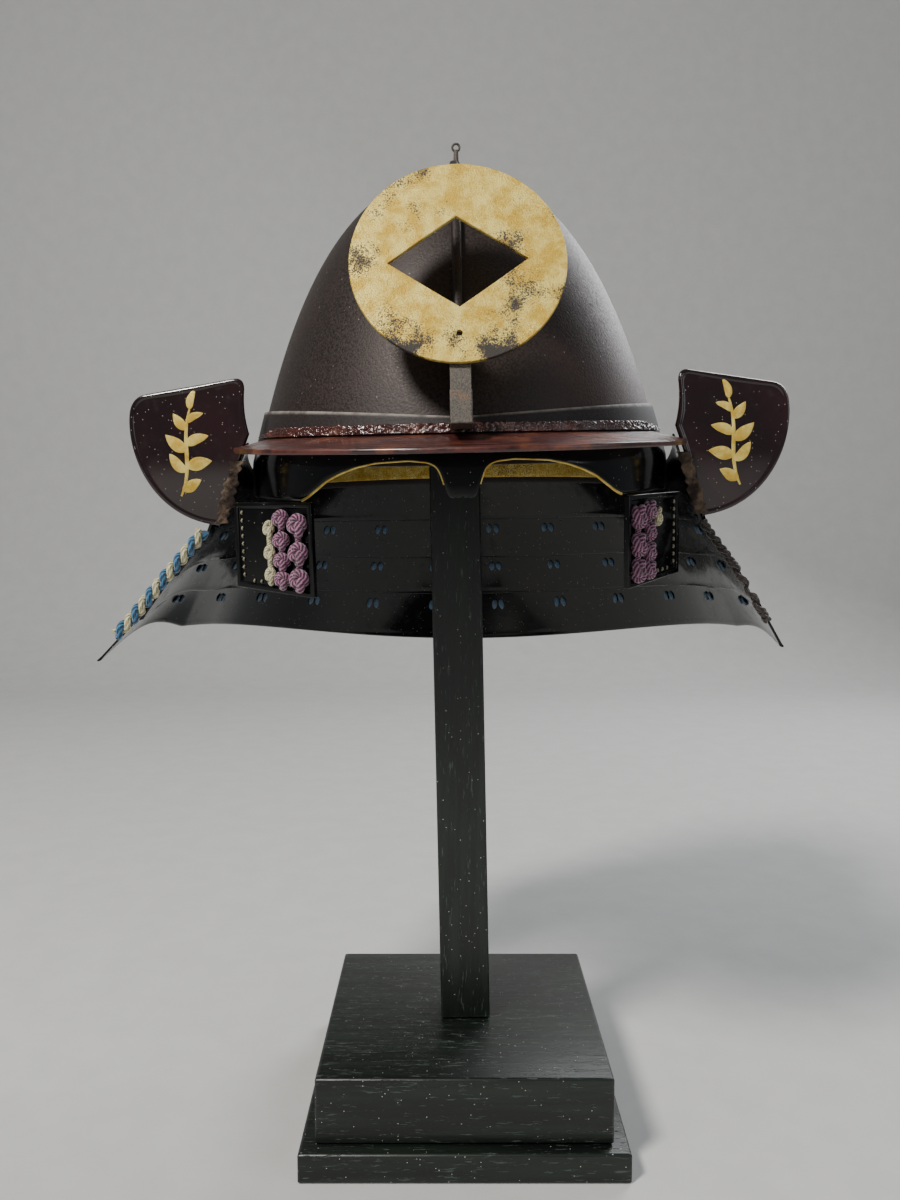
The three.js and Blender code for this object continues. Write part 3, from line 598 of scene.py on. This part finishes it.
def bowl_ridge():
    """A rib along the middle line. Its section is a flattened half circle: the across and upward parts are
    a cosine and a sine raised to a power below 1, which squares the shoulders a little."""
    foot_front, foot_back = 22.5, 29.5
    reach, height = bowl_profile(np.linspace(0, 1, 1201))
    front = np.interp(np.linspace(foot_front, 0.9 * BOWL_HEIGHT, 60), height, reach)
    t_front = np.interp(foot_front, height, np.linspace(0, 1, 1201))
    t_back = np.interp(foot_back, height, np.linspace(0, 1, 1201))
    t = np.concatenate([np.linspace(t_front, 1, 90), np.linspace(1, t_back, 90)[1:]])
    side = np.concatenate([-np.ones(90), np.ones(89)])
    reach, height = bowl_profile(t)
    line = np.stack([np.zeros(len(t)), side * reach * LONGER, height], axis=-1)
    ahead = unit(np.gradient(line, axis=0))
    normal = np.stack([np.zeros(len(t)), -ahead[:, 2], ahead[:, 1]], axis=-1)
    turn = np.linspace(0, np.pi, 15)
    across = 2.5 * np.sign(np.cos(turn)) * np.abs(np.cos(turn)) ** 0.6
    lift = 4.6 * np.abs(np.sin(turn)) ** 0.7
    lift[0] = lift[-1] = -1.2
    loops = line[:, None] + normal[:, None] * lift[None, :, None]
    loops[..., 0] = across
    return sew("bowl_ridge", loops, sharp=50)


dress(bowl_shell(), iron_coat, "russet_iron", "bowl")
dress(bowl_ridge(), iron_coat, "russet_iron", "bowl")


# %% [markdown]
# On the crown stands a small split pin with a wire eye, which once held an ornament.

# %% Crown pin
def pin_shank():
    """A turned profile: radius against height, carried round the pin's own axis."""
    height = np.array([-4, -4, -2.6, -2.2, -1.6, 3, 3.8, 4, 4])
    radius = np.array([0, 1.9, 1.9, 1.5, 1.45, 1.3, 1.0, 0.6, 0])
    turn = np.radians(np.arange(0, 360, 15))[:, None]
    base = BOWL_HEIGHT + 4.6 + 0.3 + 4
    loops = np.stack(np.broadcast_arrays(1.6 + np.cos(turn) * radius, np.sin(turn) * radius, height + base), axis=-1)
    return sew("pin_shank", loops, ring=True)


def pin_eye():
    turn = np.radians(np.arange(0, 360, 10))
    top = BOWL_HEIGHT + 4.6 + 0.3 + 8 + 1.1
    path = np.stack([1.6 + 1.9 * np.cos(turn), np.zeros(len(turn)), top + 1.9 * np.sin(turn)], axis=-1)
    return sew("pin_eye", tube(path, (0, 1, 0), 0.65, around=8, closed=True), ring=True)


dress(pin_shank(), plain_iron, "dark_iron", "crown_pin")
dress(pin_eye(), plain_iron, "dark_iron", "crown_pin")

# %% [markdown]
# A lacquered iron band goes round the rim. In front its lower edge rises in two arches over the brows,
# with a little tab for the nose between them, and a thin gold line follows each arch. The edge is a
# short table of azimuth and height, smoothed along its length.

# %% Base band
arch = np.array([
    (0, -13.8), (1.6, -14.8), (3.4, -13.6), (3.9, -10.5), (4.2, -7.4), (4.8, -3.2), (5.8, -0.4), (7.6, 1.3),
    (12, 2.2), (20, 1.4), (25, -0.5), (29, -3), (33, -6.2), (36.5, -10.4), (39.5, -13.8), (42, -15.8), (60, -15.8), (90, -17.5),
    (180, -17.5),
])
BAND_GAP, PLATE, ON_BAND = 0.6, 1.5, 2.4


def band_foot(azimuth):
    """Height of the band's lower edge: the table read at five places close together, and averaged."""
    turn = np.minimum(azimuth, 360 - azimuth) if np.ndim(azimuth) else azimuth
    spread = np.linspace(-0.7, 0.7, 5)
    return np.mean([np.interp(np.abs(turn + shift), arch[:, 0], arch[:, 1]) for shift in spread], axis=0)


def base_band():
    """Each loop is the band's section at one azimuth, from its edge up to its top."""
    azimuth = np.concatenate([np.linspace(0, 45, 136), np.linspace(46, 314, 180), np.linspace(315, 360, 136)[:-1]])
    v, s = stadium(14, 0.03)
    foot = band_foot(azimuth)[:, None]
    top = 21 + 7 * np.sin(np.radians(np.minimum(np.minimum(azimuth, 360 - azimuth), 90)))[:, None]
    split = 12.0
    height = np.where(v < 0.5, foot + (split - foot) * 2 * v, split + (top - split) * (2 * v - 1))
    loops = round_bowl(azimuth[:, None], bowl_reach(height), height, BAND_GAP + s * PLATE)
    return sew("base_band", loops, ring=True, across=v, along=np.append(azimuth, 360) / 360)


def brow_gold_line(side):
    """A thin bead of gold on the arch's outer edge, from the nose tab to the arch's far end."""
    azimuth = np.linspace(4.1, 42, 150)
    height = band_foot(azimuth)
    path = round_bowl(side * azimuth, bowl_reach(height), height - 0.1, BAND_GAP + PLATE - 0.3)
    radius = 0.35 + 0.3 * (azimuth / 42) ** 2
    return sew(f"brow_gold_line_{'left' if side < 0 else 'right'}", tube(path, (0, 0, 1), radius, around=8))


def rim_lining():
    azimuth = np.linspace(97.5, 262.5, 140)[:, None]
    v, s = stadium(10, 0.02)
    height = -13.5 + 25.5 * v
    loops = round_bowl(azimuth, bowl_reach(height, 2.0) - 0.8, height[None, :], s - 1)
    return sew("gilt_rim_lining", loops, across=v)


dress(base_band(), band_coat, "black_lacquer", "base_band")
for side in (-1, 1):
    dress(brow_gold_line(side), brushed_gold, "gold_leaf")
dress(rim_lining(), old_gilt, "gilt_lining", "rim_lining")


# %% [markdown]
# The visor is a crescent shelf of red-brown lacquered iron. It springs from the band and runs out to an
# edge that is an arc of its own centre, so that it ends in two sharp points at the sides. A narrow flange
# stands up from it against the bowl, under a skin of lacquer that has shrunk into wrinkles.

# %% Visor and flange
def visor_shelf():
    """Straight lines from the root on the bowl's oval to the edge's arc, thickened upwards. The front edge
    has a rolled lip, a bump of 0.6 mm in the last tenth."""
    u = np.linspace(-1, 1, 241)[:, None]
    v, s = stadium(18, 0.02)
    root = round_bowl(u * 60, bowl_reach(11.4), 11.4, ON_BAND)
    turn = np.radians(u * np.where(u < 0, 77.5, 79.3))
    edge = np.stack([np.sin(turn) * 113, -47 - np.cos(turn) * 113, 5.6 + 1.4 * u ** 2], axis=-1)
    loops = root + (edge - root) * v[None, :, None]
    lip = 0.6 * np.exp(-((v - 0.96) / 0.05) ** 2) * (s - 0.5)
    loops[..., 2] += 2 * s + lip
    return sew("visor_shelf", loops, across=v)


def crinkled_flange():
    """The flange's outer face is pushed in and out by many waves of seeded length and phase, whose ridges
    are sharpened by taking each sine's absolute value."""
    rng = np.random.default_rng(11)
    azimuth = np.linspace(-67.5, 67.5, 900)[:, None]
    v, s = stadium(22, 0.08)
    top = np.interp(np.abs(azimuth), (54, 67.5), (18.4, 14.8))
    height = 13.9 + (top - 13.9) * v
    wrinkle = np.zeros((900, len(v)))
    for _ in range(22):
        along, down, phase = rng.uniform(0.5, 2.6), rng.uniform(-2.2, 2.2), rng.uniform(0, 6.3)
        wrinkle += 1 - np.abs(np.sin(azimuth * along + v * down * 3 + phase)) ** 0.7
    wrinkle = (wrinkle - wrinkle.min()) / np.ptp(wrinkle)
    lift = ON_BAND + s * (0.9 + 1.5 * wrinkle)
    wavy = height + 1.1 * (wrinkle - 0.5) * v
    return sew("crinkled_flange", round_bowl(azimuth, bowl_reach(height), wavy, lift), across=v, sharp=60)


dress(visor_shelf(), visor_coat, "visor_lacquer", "visor")
dress(crinkled_flange(), flange_coat, "visor_lacquer", "visor_flange")

# %% [markdown]
# The crest is a gilt disc with a diamond cut through it, on an iron stem whose tongue drops into a
# bracket above the visor. Round the centre the hole's edge is a formula, 1 / (|cos| / a + |sin| / b), so
# disc and hole are one ring of loops from the hole's edge out to the rim. A boolean makes the nail hole.

# %% Crest disc, stem and bracket
DISC_RADIUS, DISC_THICK = 47.0, 2.0
HOLE_HALF_WIDE, HOLE_HALF_TALL = 30.3, 21.3


def crest_disc():
    angle = np.linspace(0, 2 * np.pi, 193)[:-1]
    hole = 1 / (np.abs(np.cos(angle)) / HOLE_HALF_WIDE + np.abs(np.sin(angle)) / HOLE_HALF_TALL)
    v, s = stadium(16, 0.012)
    reach = hole[:, None] + (DISC_RADIUS - hole[:, None]) * v
    turned = angle[:, None] + math.radians(1)
    dish = 0.25 * np.sin(3 * turned + 0.6) * (reach / DISC_RADIUS) ** 2
    loops = np.stack([np.cos(turned) * reach, np.sin(turned) * reach, s * DISC_THICK + dish * 0.6], axis=-1)
    disc = sew("gilt_disc", loops, ring=True, across=v, place=on_crest)
    turn = np.radians(np.arange(0, 360, 15))
    ring = np.stack([1.4 * np.cos(turn), -33.5 + 1.4 * np.sin(turn), np.zeros(24)], axis=-1)
    drill = sew("nail_drill", np.stack([ring - (0, 0, 5), ring + (0, 0, 9)]), place=on_crest)
    cut = disc.modifiers.new("nail_hole", "BOOLEAN")
    cut.object, cut.solver = drill, "EXACT"
    drilled = bpy.data.meshes.new_from_object(disc.evaluated_get(bpy.context.evaluated_depsgraph_get()))
    disc.modifiers.clear()
    disc.data = drilled
    drilled.shade_smooth()
    drilled.set_sharp_from_angle(angle=math.radians(35))
    bpy.data.objects.remove(drill)
    return disc


dress(crest_disc(), leaf, "gold_leaf", "crest_disc", body="crest")
dress(softened("crest_stem", "crest_shank", 1.0), plain_iron, "dark_iron", "crest_stem", body="crest")
dress(softened("crest_bracket", "crest_socket", 0.7), plain_iron, "dark_iron", "crest_bracket")

# %% [markdown]
# The neck guard is four lacquered plates that overlap like shingles, each hung on the one above by silk
# lacing. A plate's lower edge is known at the back, the side and the two front ends. The formula joins
# them with a quarter oval round the back, and past the side the ends flare outwards. The plates hang, so
# they stay level though the bowl leans, and each end's edge rises in a hump before its tip droops.

# %% Neck guard formulas
guard = {  # plates' lower edges from the top down; the first column is where the top plate starts
    "back": (124.8, 131.5, 140, 150, 164), "back_z": (-8, -43, -70.5, -97.5, -132.5),
    "side": (113.4, 121.5, 131.5, 142, 154), "side_z": (-4, -35, -54.5, -73, -94),
    "left": (106.5, 127, 146, 165, 188), "right": (107.5, 122, 137, 150, 163.5),
    "front_y": (-50, -53, -55, -56.5, -57.5), "front_z": (12, -34, -55, -77, -98),
}
END_TURN, FLARE_FROM, OVERLAP, SHINGLE = 112.0, 78.0, 0.24, 2.6


def guard_point(turn, row, lift=0.0):
    """A point on the guard. turn goes from the back, 0, to a front end at 112 degrees, negative on the
    left; row counts down the plates' edges and may be a fraction; lift moves the point outwards."""
    turn, row, lift = np.broadcast_arrays(turn, row, lift)
    value = {key: np.interp(row, range(5), column) for key, column in guard.items()}
    angle = np.abs(turn)
    beyond = np.maximum(angle - 90, 0) / (END_TURN - 90)
    rise = 1 - np.cos(np.radians(np.minimum(angle, 90)))
    flare = np.maximum((angle - FLARE_FROM) / (END_TURN - FLARE_FROM), 0) ** 2
    end = np.where(turn < 0, value["left"], value["right"]) - value["side"] * math.sin(math.radians(END_TURN))
    x = np.sign(turn) * (value["side"] * np.sin(np.radians(angle)) + end * flare)
    y = np.where(angle < 90, value["back"] * np.cos(np.radians(angle)), value["front_y"] * beyond)
    side_rise = value["back_z"] + (value["side_z"] - value["back_z"]) * rise * (1.5 - 0.5 * rise)
    level = -x * math.tan(LEAN) * (row / 4) * (1 - beyond)
    hump = 0.21 * end * np.sin(np.pi * beyond) * (row / 4)
    z = side_rise + (value["front_z"] - side_rise) * beyond + level + hump
    outwards = unit(np.stack([x, y], axis=-1))
    return np.stack([x + outwards[..., 0] * lift, y + outwards[..., 1] * lift, z], axis=-1)


# %% Neck plates
def guard_plate(number):
    """A plate's section is a stadium loop from its hidden top to its edge, which thickens to a soft bead."""
    top = number - 1 - (OVERLAP if number > 1 else 0)
    v, s = stadium(16, 0.025)
    turn = np.linspace(-END_TURN, END_TURN, 321)[:, None]
    shingle = SHINGLE * (1 - v) if number > 1 else 0 * v
    bead = 0.35 * np.exp(-((v - 0.97) / 0.03) ** 2) * (2 * s - 1)
    loops = guard_point(turn, top + (number - top) * v, shingle + PLATE * s + bead)
    return sew(f"guard_plate_{number}", loops, across=v)


for number in range(1, 5):
    dress(guard_plate(number), black, "black_lacquer", f"neck_plate_{number}")

# %% [markdown]
# Lacing in the spaced style: two cords run side by side down the outside, cross where they pass a plate
# and show inside as a pair of small stitches. The pair is two paths that change places, each a flattened
# tube. A smoothed wave keeps them straight between plates and makes them cross quickly.

# %% Lacing columns and stitches
COLUMN_TURNS = -96.5 + 17.9 * np.arange(12)


def lacing_pair(column, turn):
    """Offset across is a squared-off cosine of the place down the guard, and lift rises as they cross."""
    row = np.linspace(0.56, 3.29, 150)
    wave = np.tanh(3 * np.cos(np.pi * (row - 0.05))) / math.tanh(3)
    loops = []
    for strand in (-1, 1):
        reach = np.interp(row, range(5), guard["side"])
        shift = np.degrees(strand * 2.1 * wave / reach)
        lift = 5.2 + 0.75 + strand * 0.5 * (1 - wave ** 2)
        path = guard_point(turn + shift, row, lift)
        outwards = unit(guard_point(turn + shift, row, lift + 1) - path)
        loops.append(tube(path, outwards, 1.9, 0.8, around=10))
    return join_pieces(f"lacing_pair_{column}", [sew("strand", loop) for loop in loops])


def join_pieces(name, pieces):
    """Puts several closed meshes into the first one's object, keeping their UV maps."""
    work = bmesh.new()
    for piece in pieces:
        work.from_mesh(piece.data)
    mesh = bpy.data.meshes.new(name)
    work.to_mesh(mesh)
    work.free()
    for piece in pieces:
        bpy.data.objects.remove(piece)
    return finish_mesh(name, mesh, 60)


def inside_stitches(number):
    """Where the lacing passes through a plate it shows inside as two short slanted stitches a column."""
    stitches = []
    for turn in COLUMN_TURNS:
        for strand in (-1, 1):
            reach = np.interp(number, range(5), guard["side"])
            part = np.linspace(0, 1, 9)
            across = turn + np.degrees(strand * (2.6 + 0.9 * (part - 0.5)) / reach)
            row = number - 1 + 0.14 + 0.2 * part
            start = number - 1 - (OVERLAP if number > 1 else 0)
            shingle = SHINGLE * (1 - (row - start) / (number - start)) if number > 1 else 0
            sink = -0.15 - 0.55 * np.sin(np.pi * part)
            path = guard_point(across, row, shingle + sink)
            outwards = unit(guard_point(across, row, 5.0) - guard_point(across, row, 0.0))
            stitches.append(sew("stitch", tube(path, outwards, 0.5 + 1.3 * np.sin(np.pi * part) ** 0.5, 0.75, around=8)))
    return join_pieces(f"inside_stitches_{number}", stitches)


for column, turn in enumerate(COLUMN_TURNS, start=1):
    dress(lacing_pair(column, turn), blue, "blue_cord", f"lacing_column_{column}")
for number in range(2, 5):
    dress(inside_stitches(number), blue, "blue_cord")

# %% [markdown]
# The guard's front ends are bound by cords. On the left a blue and a cream braid wind round each other
# and show turn about. On the right the cords are frayed into threads, and their dark brown is painted shade.

# %% Edge lacing
def edge_path(side, count):
    row = np.linspace(0.95, 3.3, count)
    path = guard_point(side * END_TURN, row, 5.0 if side < 0 else 1.0)
    return path + (0, -5.0, 0)


def edge_braid(name, side, strand, strands, winds, core, radius):
    """A strand winds round the edge's path at an even pitch: a helix on the path's own two normals."""
    path = edge_path(side, 320)
    ahead = unit(np.gradient(path, axis=0))
    across = unit(np.cross(ahead, (0, 1, 0)))
    front = np.cross(across, ahead)
    turn = 2 * np.pi * (np.linspace(0, winds, 320) + strand / strands)
    centre = path + across * (core * np.cos(turn))[:, None] + front * (core * np.sin(turn))[:, None]
    return sew(name, tube(centre, (0, 1, 0.2), radius, around=10))


dress(edge_braid("edge_braid_blue", -1, 0, 2, 6, 1.7, 1.75), blue, "blue_cord", "edge_lacing_left")
dress(edge_braid("edge_braid_cream", -1, 1, 2, 6, 1.7, 1.75), cream, "cream_cord", "edge_lacing_left")
# The dark brown of these frayed strands is painted shade.
frayed = [edge_braid("strand", 1, k, 3, 5 + k, 1.3, 0.9 + 0.12 * k) for k in range(3)]
dress(join_pieces("edge_braid_frayed", frayed), shaded_silk, "brown_cord", "edge_lacing_right")

# %% [markdown]
# The guard's top plate folds forward on each side into an ear. It is a rounded plate with a raised bead
# along its rim, slightly hollow, in glossy brown lacquer. The real ones carry a gold device; here it is a
# plain sprig of leaves in gold lacquer, each leaf a swelling stroke laid on the ear's curved face.

# %% Ears
def bezier(start, *bends, count):
    """Points of a Bezier curve of any degree, without the last one, by repeated blending."""
    t = np.linspace(0, 1, count, endpoint=False)[:, None]
    points = [np.broadcast_to(np.array(p, dtype=float), (count, 2)) for p in (start, *bends)]
    while len(points) > 1:
        points = [a + (b - a) * t for a, b in zip(points, points[1:])]
    return points[0]


def ear_outline(side):
    inner = 2.5 if side < 0 else 0.0
    return np.concatenate([
        bezier((108.5 - inner, 38), (108.5 - inner, 43.5), (113 - inner, 43.3), count=14),
        bezier((113 - inner, 43.3), (155.5, 36.6), count=44),
        bezier((155.5, 36.6), (163, 35.5), (164, 27), count=20),
        bezier((164, 27), (166, 8), (156, -26), (122, -29.3), count=80),
        bezier((122, -29.3), (106.5 - inner, 16), count=48),
        bezier((106.5 - inner, 16), (109.5 - inner, 27), (108.5 - inner, 38), count=24),
    ])


def ear_face(x, z):
    """How far back the ear's middle surface lies: it turns back by 4 degrees and bulges forward."""
    return -58 + (x - 108) * math.tan(math.radians(4)) - 4.5 * (1 - ((z - 7) / 36) ** 2)


def ear(side):
    """Each loop runs from the middle of the front face over the rim to the middle of the back face."""
    outline = ear_outline(side)
    middle = outline.mean(axis=0)
    spoke = outline - middle
    length = np.linalg.norm(spoke, axis=1)[:, None]
    inset = np.array([0, 0.12, 0.4, 0.8, 1.3, 1.8, 2.2, 2.6, 3.0, 3.6])
    half = np.array([0, 0.9, 1.45, 1.7, 1.75, 1.7, 1.55, 1.2, 1.02, 1.0])
    shares = np.linspace(1, 0, 14)[1:]
    rim = np.broadcast_to(1 - inset / length, (len(outline), len(inset)))
    rest = rim[:, -1:] * shares[None, :]
    share = np.concatenate([rim, rest], axis=1)
    thick = np.concatenate([half, np.ones(len(shares))])
    share = np.concatenate([share[:, ::-1], share[:, 1:]], axis=1)
    offset = np.concatenate([-thick[::-1], thick[1:]])
    x = middle[0] + spoke[:, :1] * share
    z = middle[1] + spoke[:, 1:] * share
    loops = np.stack([side * x, ear_face(x, z) + offset[None, :], z], axis=-1)
    return sew(f"ear_{'left' if side < 0 else 'right'}", loops, ring=True)


def gold_stroke(spine, width, side):
    """A brush stroke: an ellipse, wide across and 0.12 mm high, carried along a curve on the ear's face."""
    x, z = spine[:, 0], spine[:, 1]
    path = np.stack([side * x, ear_face(x, z) - 1.05, z], axis=-1)
    return sew("stroke", tube(path, (0, -1, 0), width, 0.14, around=12))


def ear_sprig(side):
    """A bending stem with pairs of pointed leaves. A leaf is as wide as a sine of its length."""
    part = np.linspace(0, 1, 40)
    stem = bezier((140, -14), (132, 2), (139, 12), (133, 30), count=40)
    strokes = [gold_stroke(stem, 0.5 + 0.5 * np.sin(np.pi * part), side)]
    leaves = [(2, 140, 11, 3.0), (11, 38, 12, 3.1), (13, 158, 13, 3.2), (21, 30, 13, 3.0), (24, 150, 12, 2.8),
              (31, 40, 10, 2.4), (34, 140, 9, 2.2), (39, 95, 10, 2.2)]
    for root, heading, length, width in leaves:
        way = math.radians(heading)
        grow = np.linspace(0, 1, 30)[:, None]
        bend = np.stack([-np.sin(way) * grow ** 2, np.cos(way) * grow ** 2], axis=-1)[:, 0] * 2.0
        spine = stem[root] + np.array([math.cos(way), math.sin(way)]) * length * grow + bend
        strokes.append(gold_stroke(spine, 0.12 + width * np.sin(np.pi * grow[:, 0] ** 0.8) ** 0.9, side))
    return join_pieces(f"ear_sprig_{'left' if side < 0 else 'right'}", strokes)


def ear_leather(side):
    """A strip with ragged edges: seeded waves push each long edge in and out and ruffle the surface."""
    rng = np.random.default_rng(5 + side)
    v = np.linspace(0, 1, 90)[:, None]
    across, s = stadium(9, 0.06)
    rag = sum(rng.uniform(0.2, 0.9) * np.sin(v * k * 6.3 + rng.uniform(0, 6)) for k in (1.3, 3.1, 5.7, 8.3))
    width = 6.6 + 1.1 * rag
    x = 110 + 10.5 * v + (across - 0.5) * width
    z = 3 - 31 * v + 0 * across
    ruffle = 0.4 * np.sin(v * 17 + across * 5) + 0.2 * np.sin(v * 41 - across * 7)
    y = ear_face(x, z) - 2.3 - 1.4 * s - np.maximum(ruffle, -0.2)
    name = f"ear_leather_{'left' if side < 0 else 'right'}"
    return sew(name, np.stack([side * x, y, z], axis=-1), sharp=60)


for side, word in ((-1, "left"), (1, "right")):
    dress(ear(side), brown, "brown_lacquer", f"turn_back_{word}")
    dress(ear_sprig(side), brushed_gold, "gold_leaf")
    dress(ear_leather(side), hide, "leather", f"leather_strip_{word}")

# %% [markdown]
# Two small plates hang at the temples, black with a raised rim. Knotted silk holds the lining: two
# columns of purple knots and a few cream ones, and between a rim's holes runs a line of small stitches.
# A knot is one thick cord on a trefoil path, squeezed flat: three loops that pass over and under.

# %% Temple plates and knots
TEMPLE_WIDE, TEMPLE_TALL, TEMPLE_OUTER, TEMPLE_TOP = 46.0, 44.5, 41.0, -16.6


def temple_frame(x, y, yaw):
    """Gives the function that takes a temple plate's own points to the room."""
    turned = about_x(math.pi / 2) @ about_y(yaw)
    return lambda points: on_helmet(np.asarray(points) @ turned.T + (x, y, TEMPLE_TOP))


def knot(place, x, y, z, wide, tall, tilt):
    """A trefoil: (2 + cos 3a) on cos 2a and sin 2a, with sin 3a for its depth, fitted into the given size."""
    a = np.linspace(0, 2 * np.pi, 120, endpoint=False)
    cord = wide * 0.19
    ring = (2 + np.cos(3 * a)) / 3
    path = np.stack([np.cos(2 * a + tilt) * ring * (wide / 2 - cord), np.sin(2 * a + tilt) * ring * (tall / 2 - cord),
                     np.sin(3 * a) * cord * 0.75], axis=-1) + (x, y, z)
    return sew("knot", tube(path, (0, 0, 1), cord, around=10, closed=True), ring=True, place=place)


def knot_column(name, place, side, across, wide, tall, down):
    knots = [knot(place, side * across * TEMPLE_WIDE, -part * TEMPLE_TALL, 3.7, wide * 1.12, tall * 1.12, 0.7 + 2 * k)
             for k, part in enumerate(down)]
    part = np.linspace(0, 1, 30)[:, None]
    ends = np.array([(side * across * TEMPLE_WIDE, -down[0] * TEMPLE_TALL + 3.5, 3.2),
                     (side * across * TEMPLE_WIDE, -down[-1] * TEMPLE_TALL - 3.5, 3.2)])
    cord = ends[0] + (ends[1] - ends[0]) * part
    knots.append(sew("cord", tube(cord, (0, 0, 1), 1.5, around=10), place=place))
    return join_pieces(name, knots)


def rim_stitches(name, place, side):
    """Small stitches sit in holes along the plate's outer side and foot, evenly spaced."""
    down = np.linspace(5, 35, 9)
    across = np.linspace(10, 36, 7)
    spots = [(side * 42.0, -d) for d in down] + [(side * a, -39.6 + a * 0.05) for a in across]
    part = np.linspace(0, 1, 7)[:, None]
    beads = []
    for x, y in spots:
        path = np.array([x, y - 0.7, 0]) + np.array([0.25, 1.4, 0]) * part
        path = path + np.array([0, 0, 1.75]) + np.array([0, 0, 0.45]) * np.sin(np.pi * part)
        beads.append(sew("stitch", tube(path, (0, 0, 1), 0.45, around=7), place=place))
    return join_pieces(name, beads)


temples = {"left": (-1, -68.6, -99, 29, (0.28, 0.54, 0.78)), "right": (1, 76.4, -91, 47, (0.25,))}
for word, (side, x, y, yaw, cream_places) in temples.items():
    place = temple_frame(x, y, side * math.radians(yaw))
    dress(softened(f"temple_plate_{word}", f"temple_panel_{word}", 0.5), black, "black_lacquer", f"temple_plate_{word}")
    inner = knot_column(f"purple_knots_inner_{word}", place, side, 0.165, 9.2, 11.5, (0.23, 0.53, 0.81))
    outer = knot_column(f"purple_knots_outer_{word}", place, side, 0.375, 8, 9.2, (0.17, 0.4, 0.62, 0.82))
    pale = knot_column(f"cream_knots_{word}_braid", place, side, 0.53, 5.6, 9, cream_places)
    dress(inner, purple, "purple_cord", f"inner_knots_{word}")
    dress(outer, purple, "purple_cord", f"outer_knots_{word}")
    dress(pale, cream, "cream_cord", f"cream_knots_{word}")
    dress(rim_stitches(f"rim_stitches_{word}", place, side), cream, "cream_cord")

# %% [markdown]
# The stand is plain joinery, stained nearly black: two stacked blocks and a square post with its top
# corners taken off. Its shapes are already right, so each is a copy with softened edges, and the finish
# does the work: open grain along the blocks, upright grain on the post, pale scuffs on the edges.

# %% Stand
dress(softened("base_lower", "stand_plinth", 0.6), wood, "stained_wood", "base_lower")
dress(softened("base_upper", "stand_block", 0.6), wood, "stained_wood", "base_upper")
dress(softened("post", "stand_post", 0.8), upright_wood, "stained_wood", "post")

# %% [markdown]
# A pale sweep of paper is floor and backdrop in one: flat under the stand, then rolled up behind it.
# Three large soft lamps light it, the strongest high at the left, so that the disc's shadow falls on the
# bowl, with a dim wide one at the right and one behind to draw the dark edges out of the ground.

# %% Floor and light
def paper_sweep():
    """A profile of a straight floor and a quarter circle up to a wall, the same at every x."""
    bend = np.linspace(0, np.pi / 2, 24)
    depth = np.concatenate([[-3.0], 1.4 + 0.6 * np.sin(bend), [2.0]])
    height = np.concatenate([[0.0], 0.6 - 0.6 * np.cos(bend), [3.5]])
    x = np.array([-4.0, 4.0])[:, None]
    points = np.stack(np.broadcast_arrays(x, depth, height), axis=-1).reshape(-1, 3)
    count = len(depth)
    first = np.arange(count - 1)
    faces = np.stack([first, first + count, first + count + 1, first + 1], axis=-1)
    mesh = bpy.data.meshes.new("paper_sweep")
    mesh.from_pydata(points.tolist(), [], faces.tolist())
    mesh.shade_smooth()
    sweep = bpy.data.objects.new("paper_sweep", mesh)
    bpy.context.collection.objects.link(sweep)
    material, tree, shader, place, _ = new_finish("pale_paper", Roughness=0.9, Specular_IOR_Level=0.2)
    fibre = use(tree, clouds, place, Scale=30.0, Low=0.2, High=0.8)
    tree.links.new(mix(tree, fibre, tone("c6c6c4"), tone("cdcdcb")), shader.inputs["Base Color"])
    mesh.materials.append(material)


def lamp(name, place, aim, size, power, colour=(1, 1, 1)):
    data = bpy.data.lights.new(name, "AREA")
    data.shape, data.size, data.energy, data.color = "DISK", size, power, colour
    light = bpy.data.objects.new(name, data)
    light.location = place
    way = np.array(aim) - np.array(place)
    yaw = math.atan2(way[0], -way[1])
    light.rotation_euler = (math.acos(-way[2] / np.linalg.norm(way)), 0, yaw + math.pi)
    bpy.context.collection.objects.link(light)


paper_sweep()
middle = (0.0, 0.0, 0.36)
lamp("key", (-0.95, -1.15, 1.75), middle, 0.4, 52, (1.0, 0.97, 0.92))
lamp("fill", (1.4, -1.0, 0.9), middle, 1.2, 5, (0.92, 0.96, 1.0))
lamp("rim", (0.9, 1.1, 1.2), middle, 0.9, 16, (0.95, 0.97, 1.0))
world = bpy.data.worlds.new("studio")
world.use_nodes = True
world.node_tree.nodes["Background"].inputs["Color"].default_value = (0.75, 0.78, 0.82, 1)
world.node_tree.nodes["Background"].inputs["Strength"].default_value = 0.25
bpy.context.scene.world = world
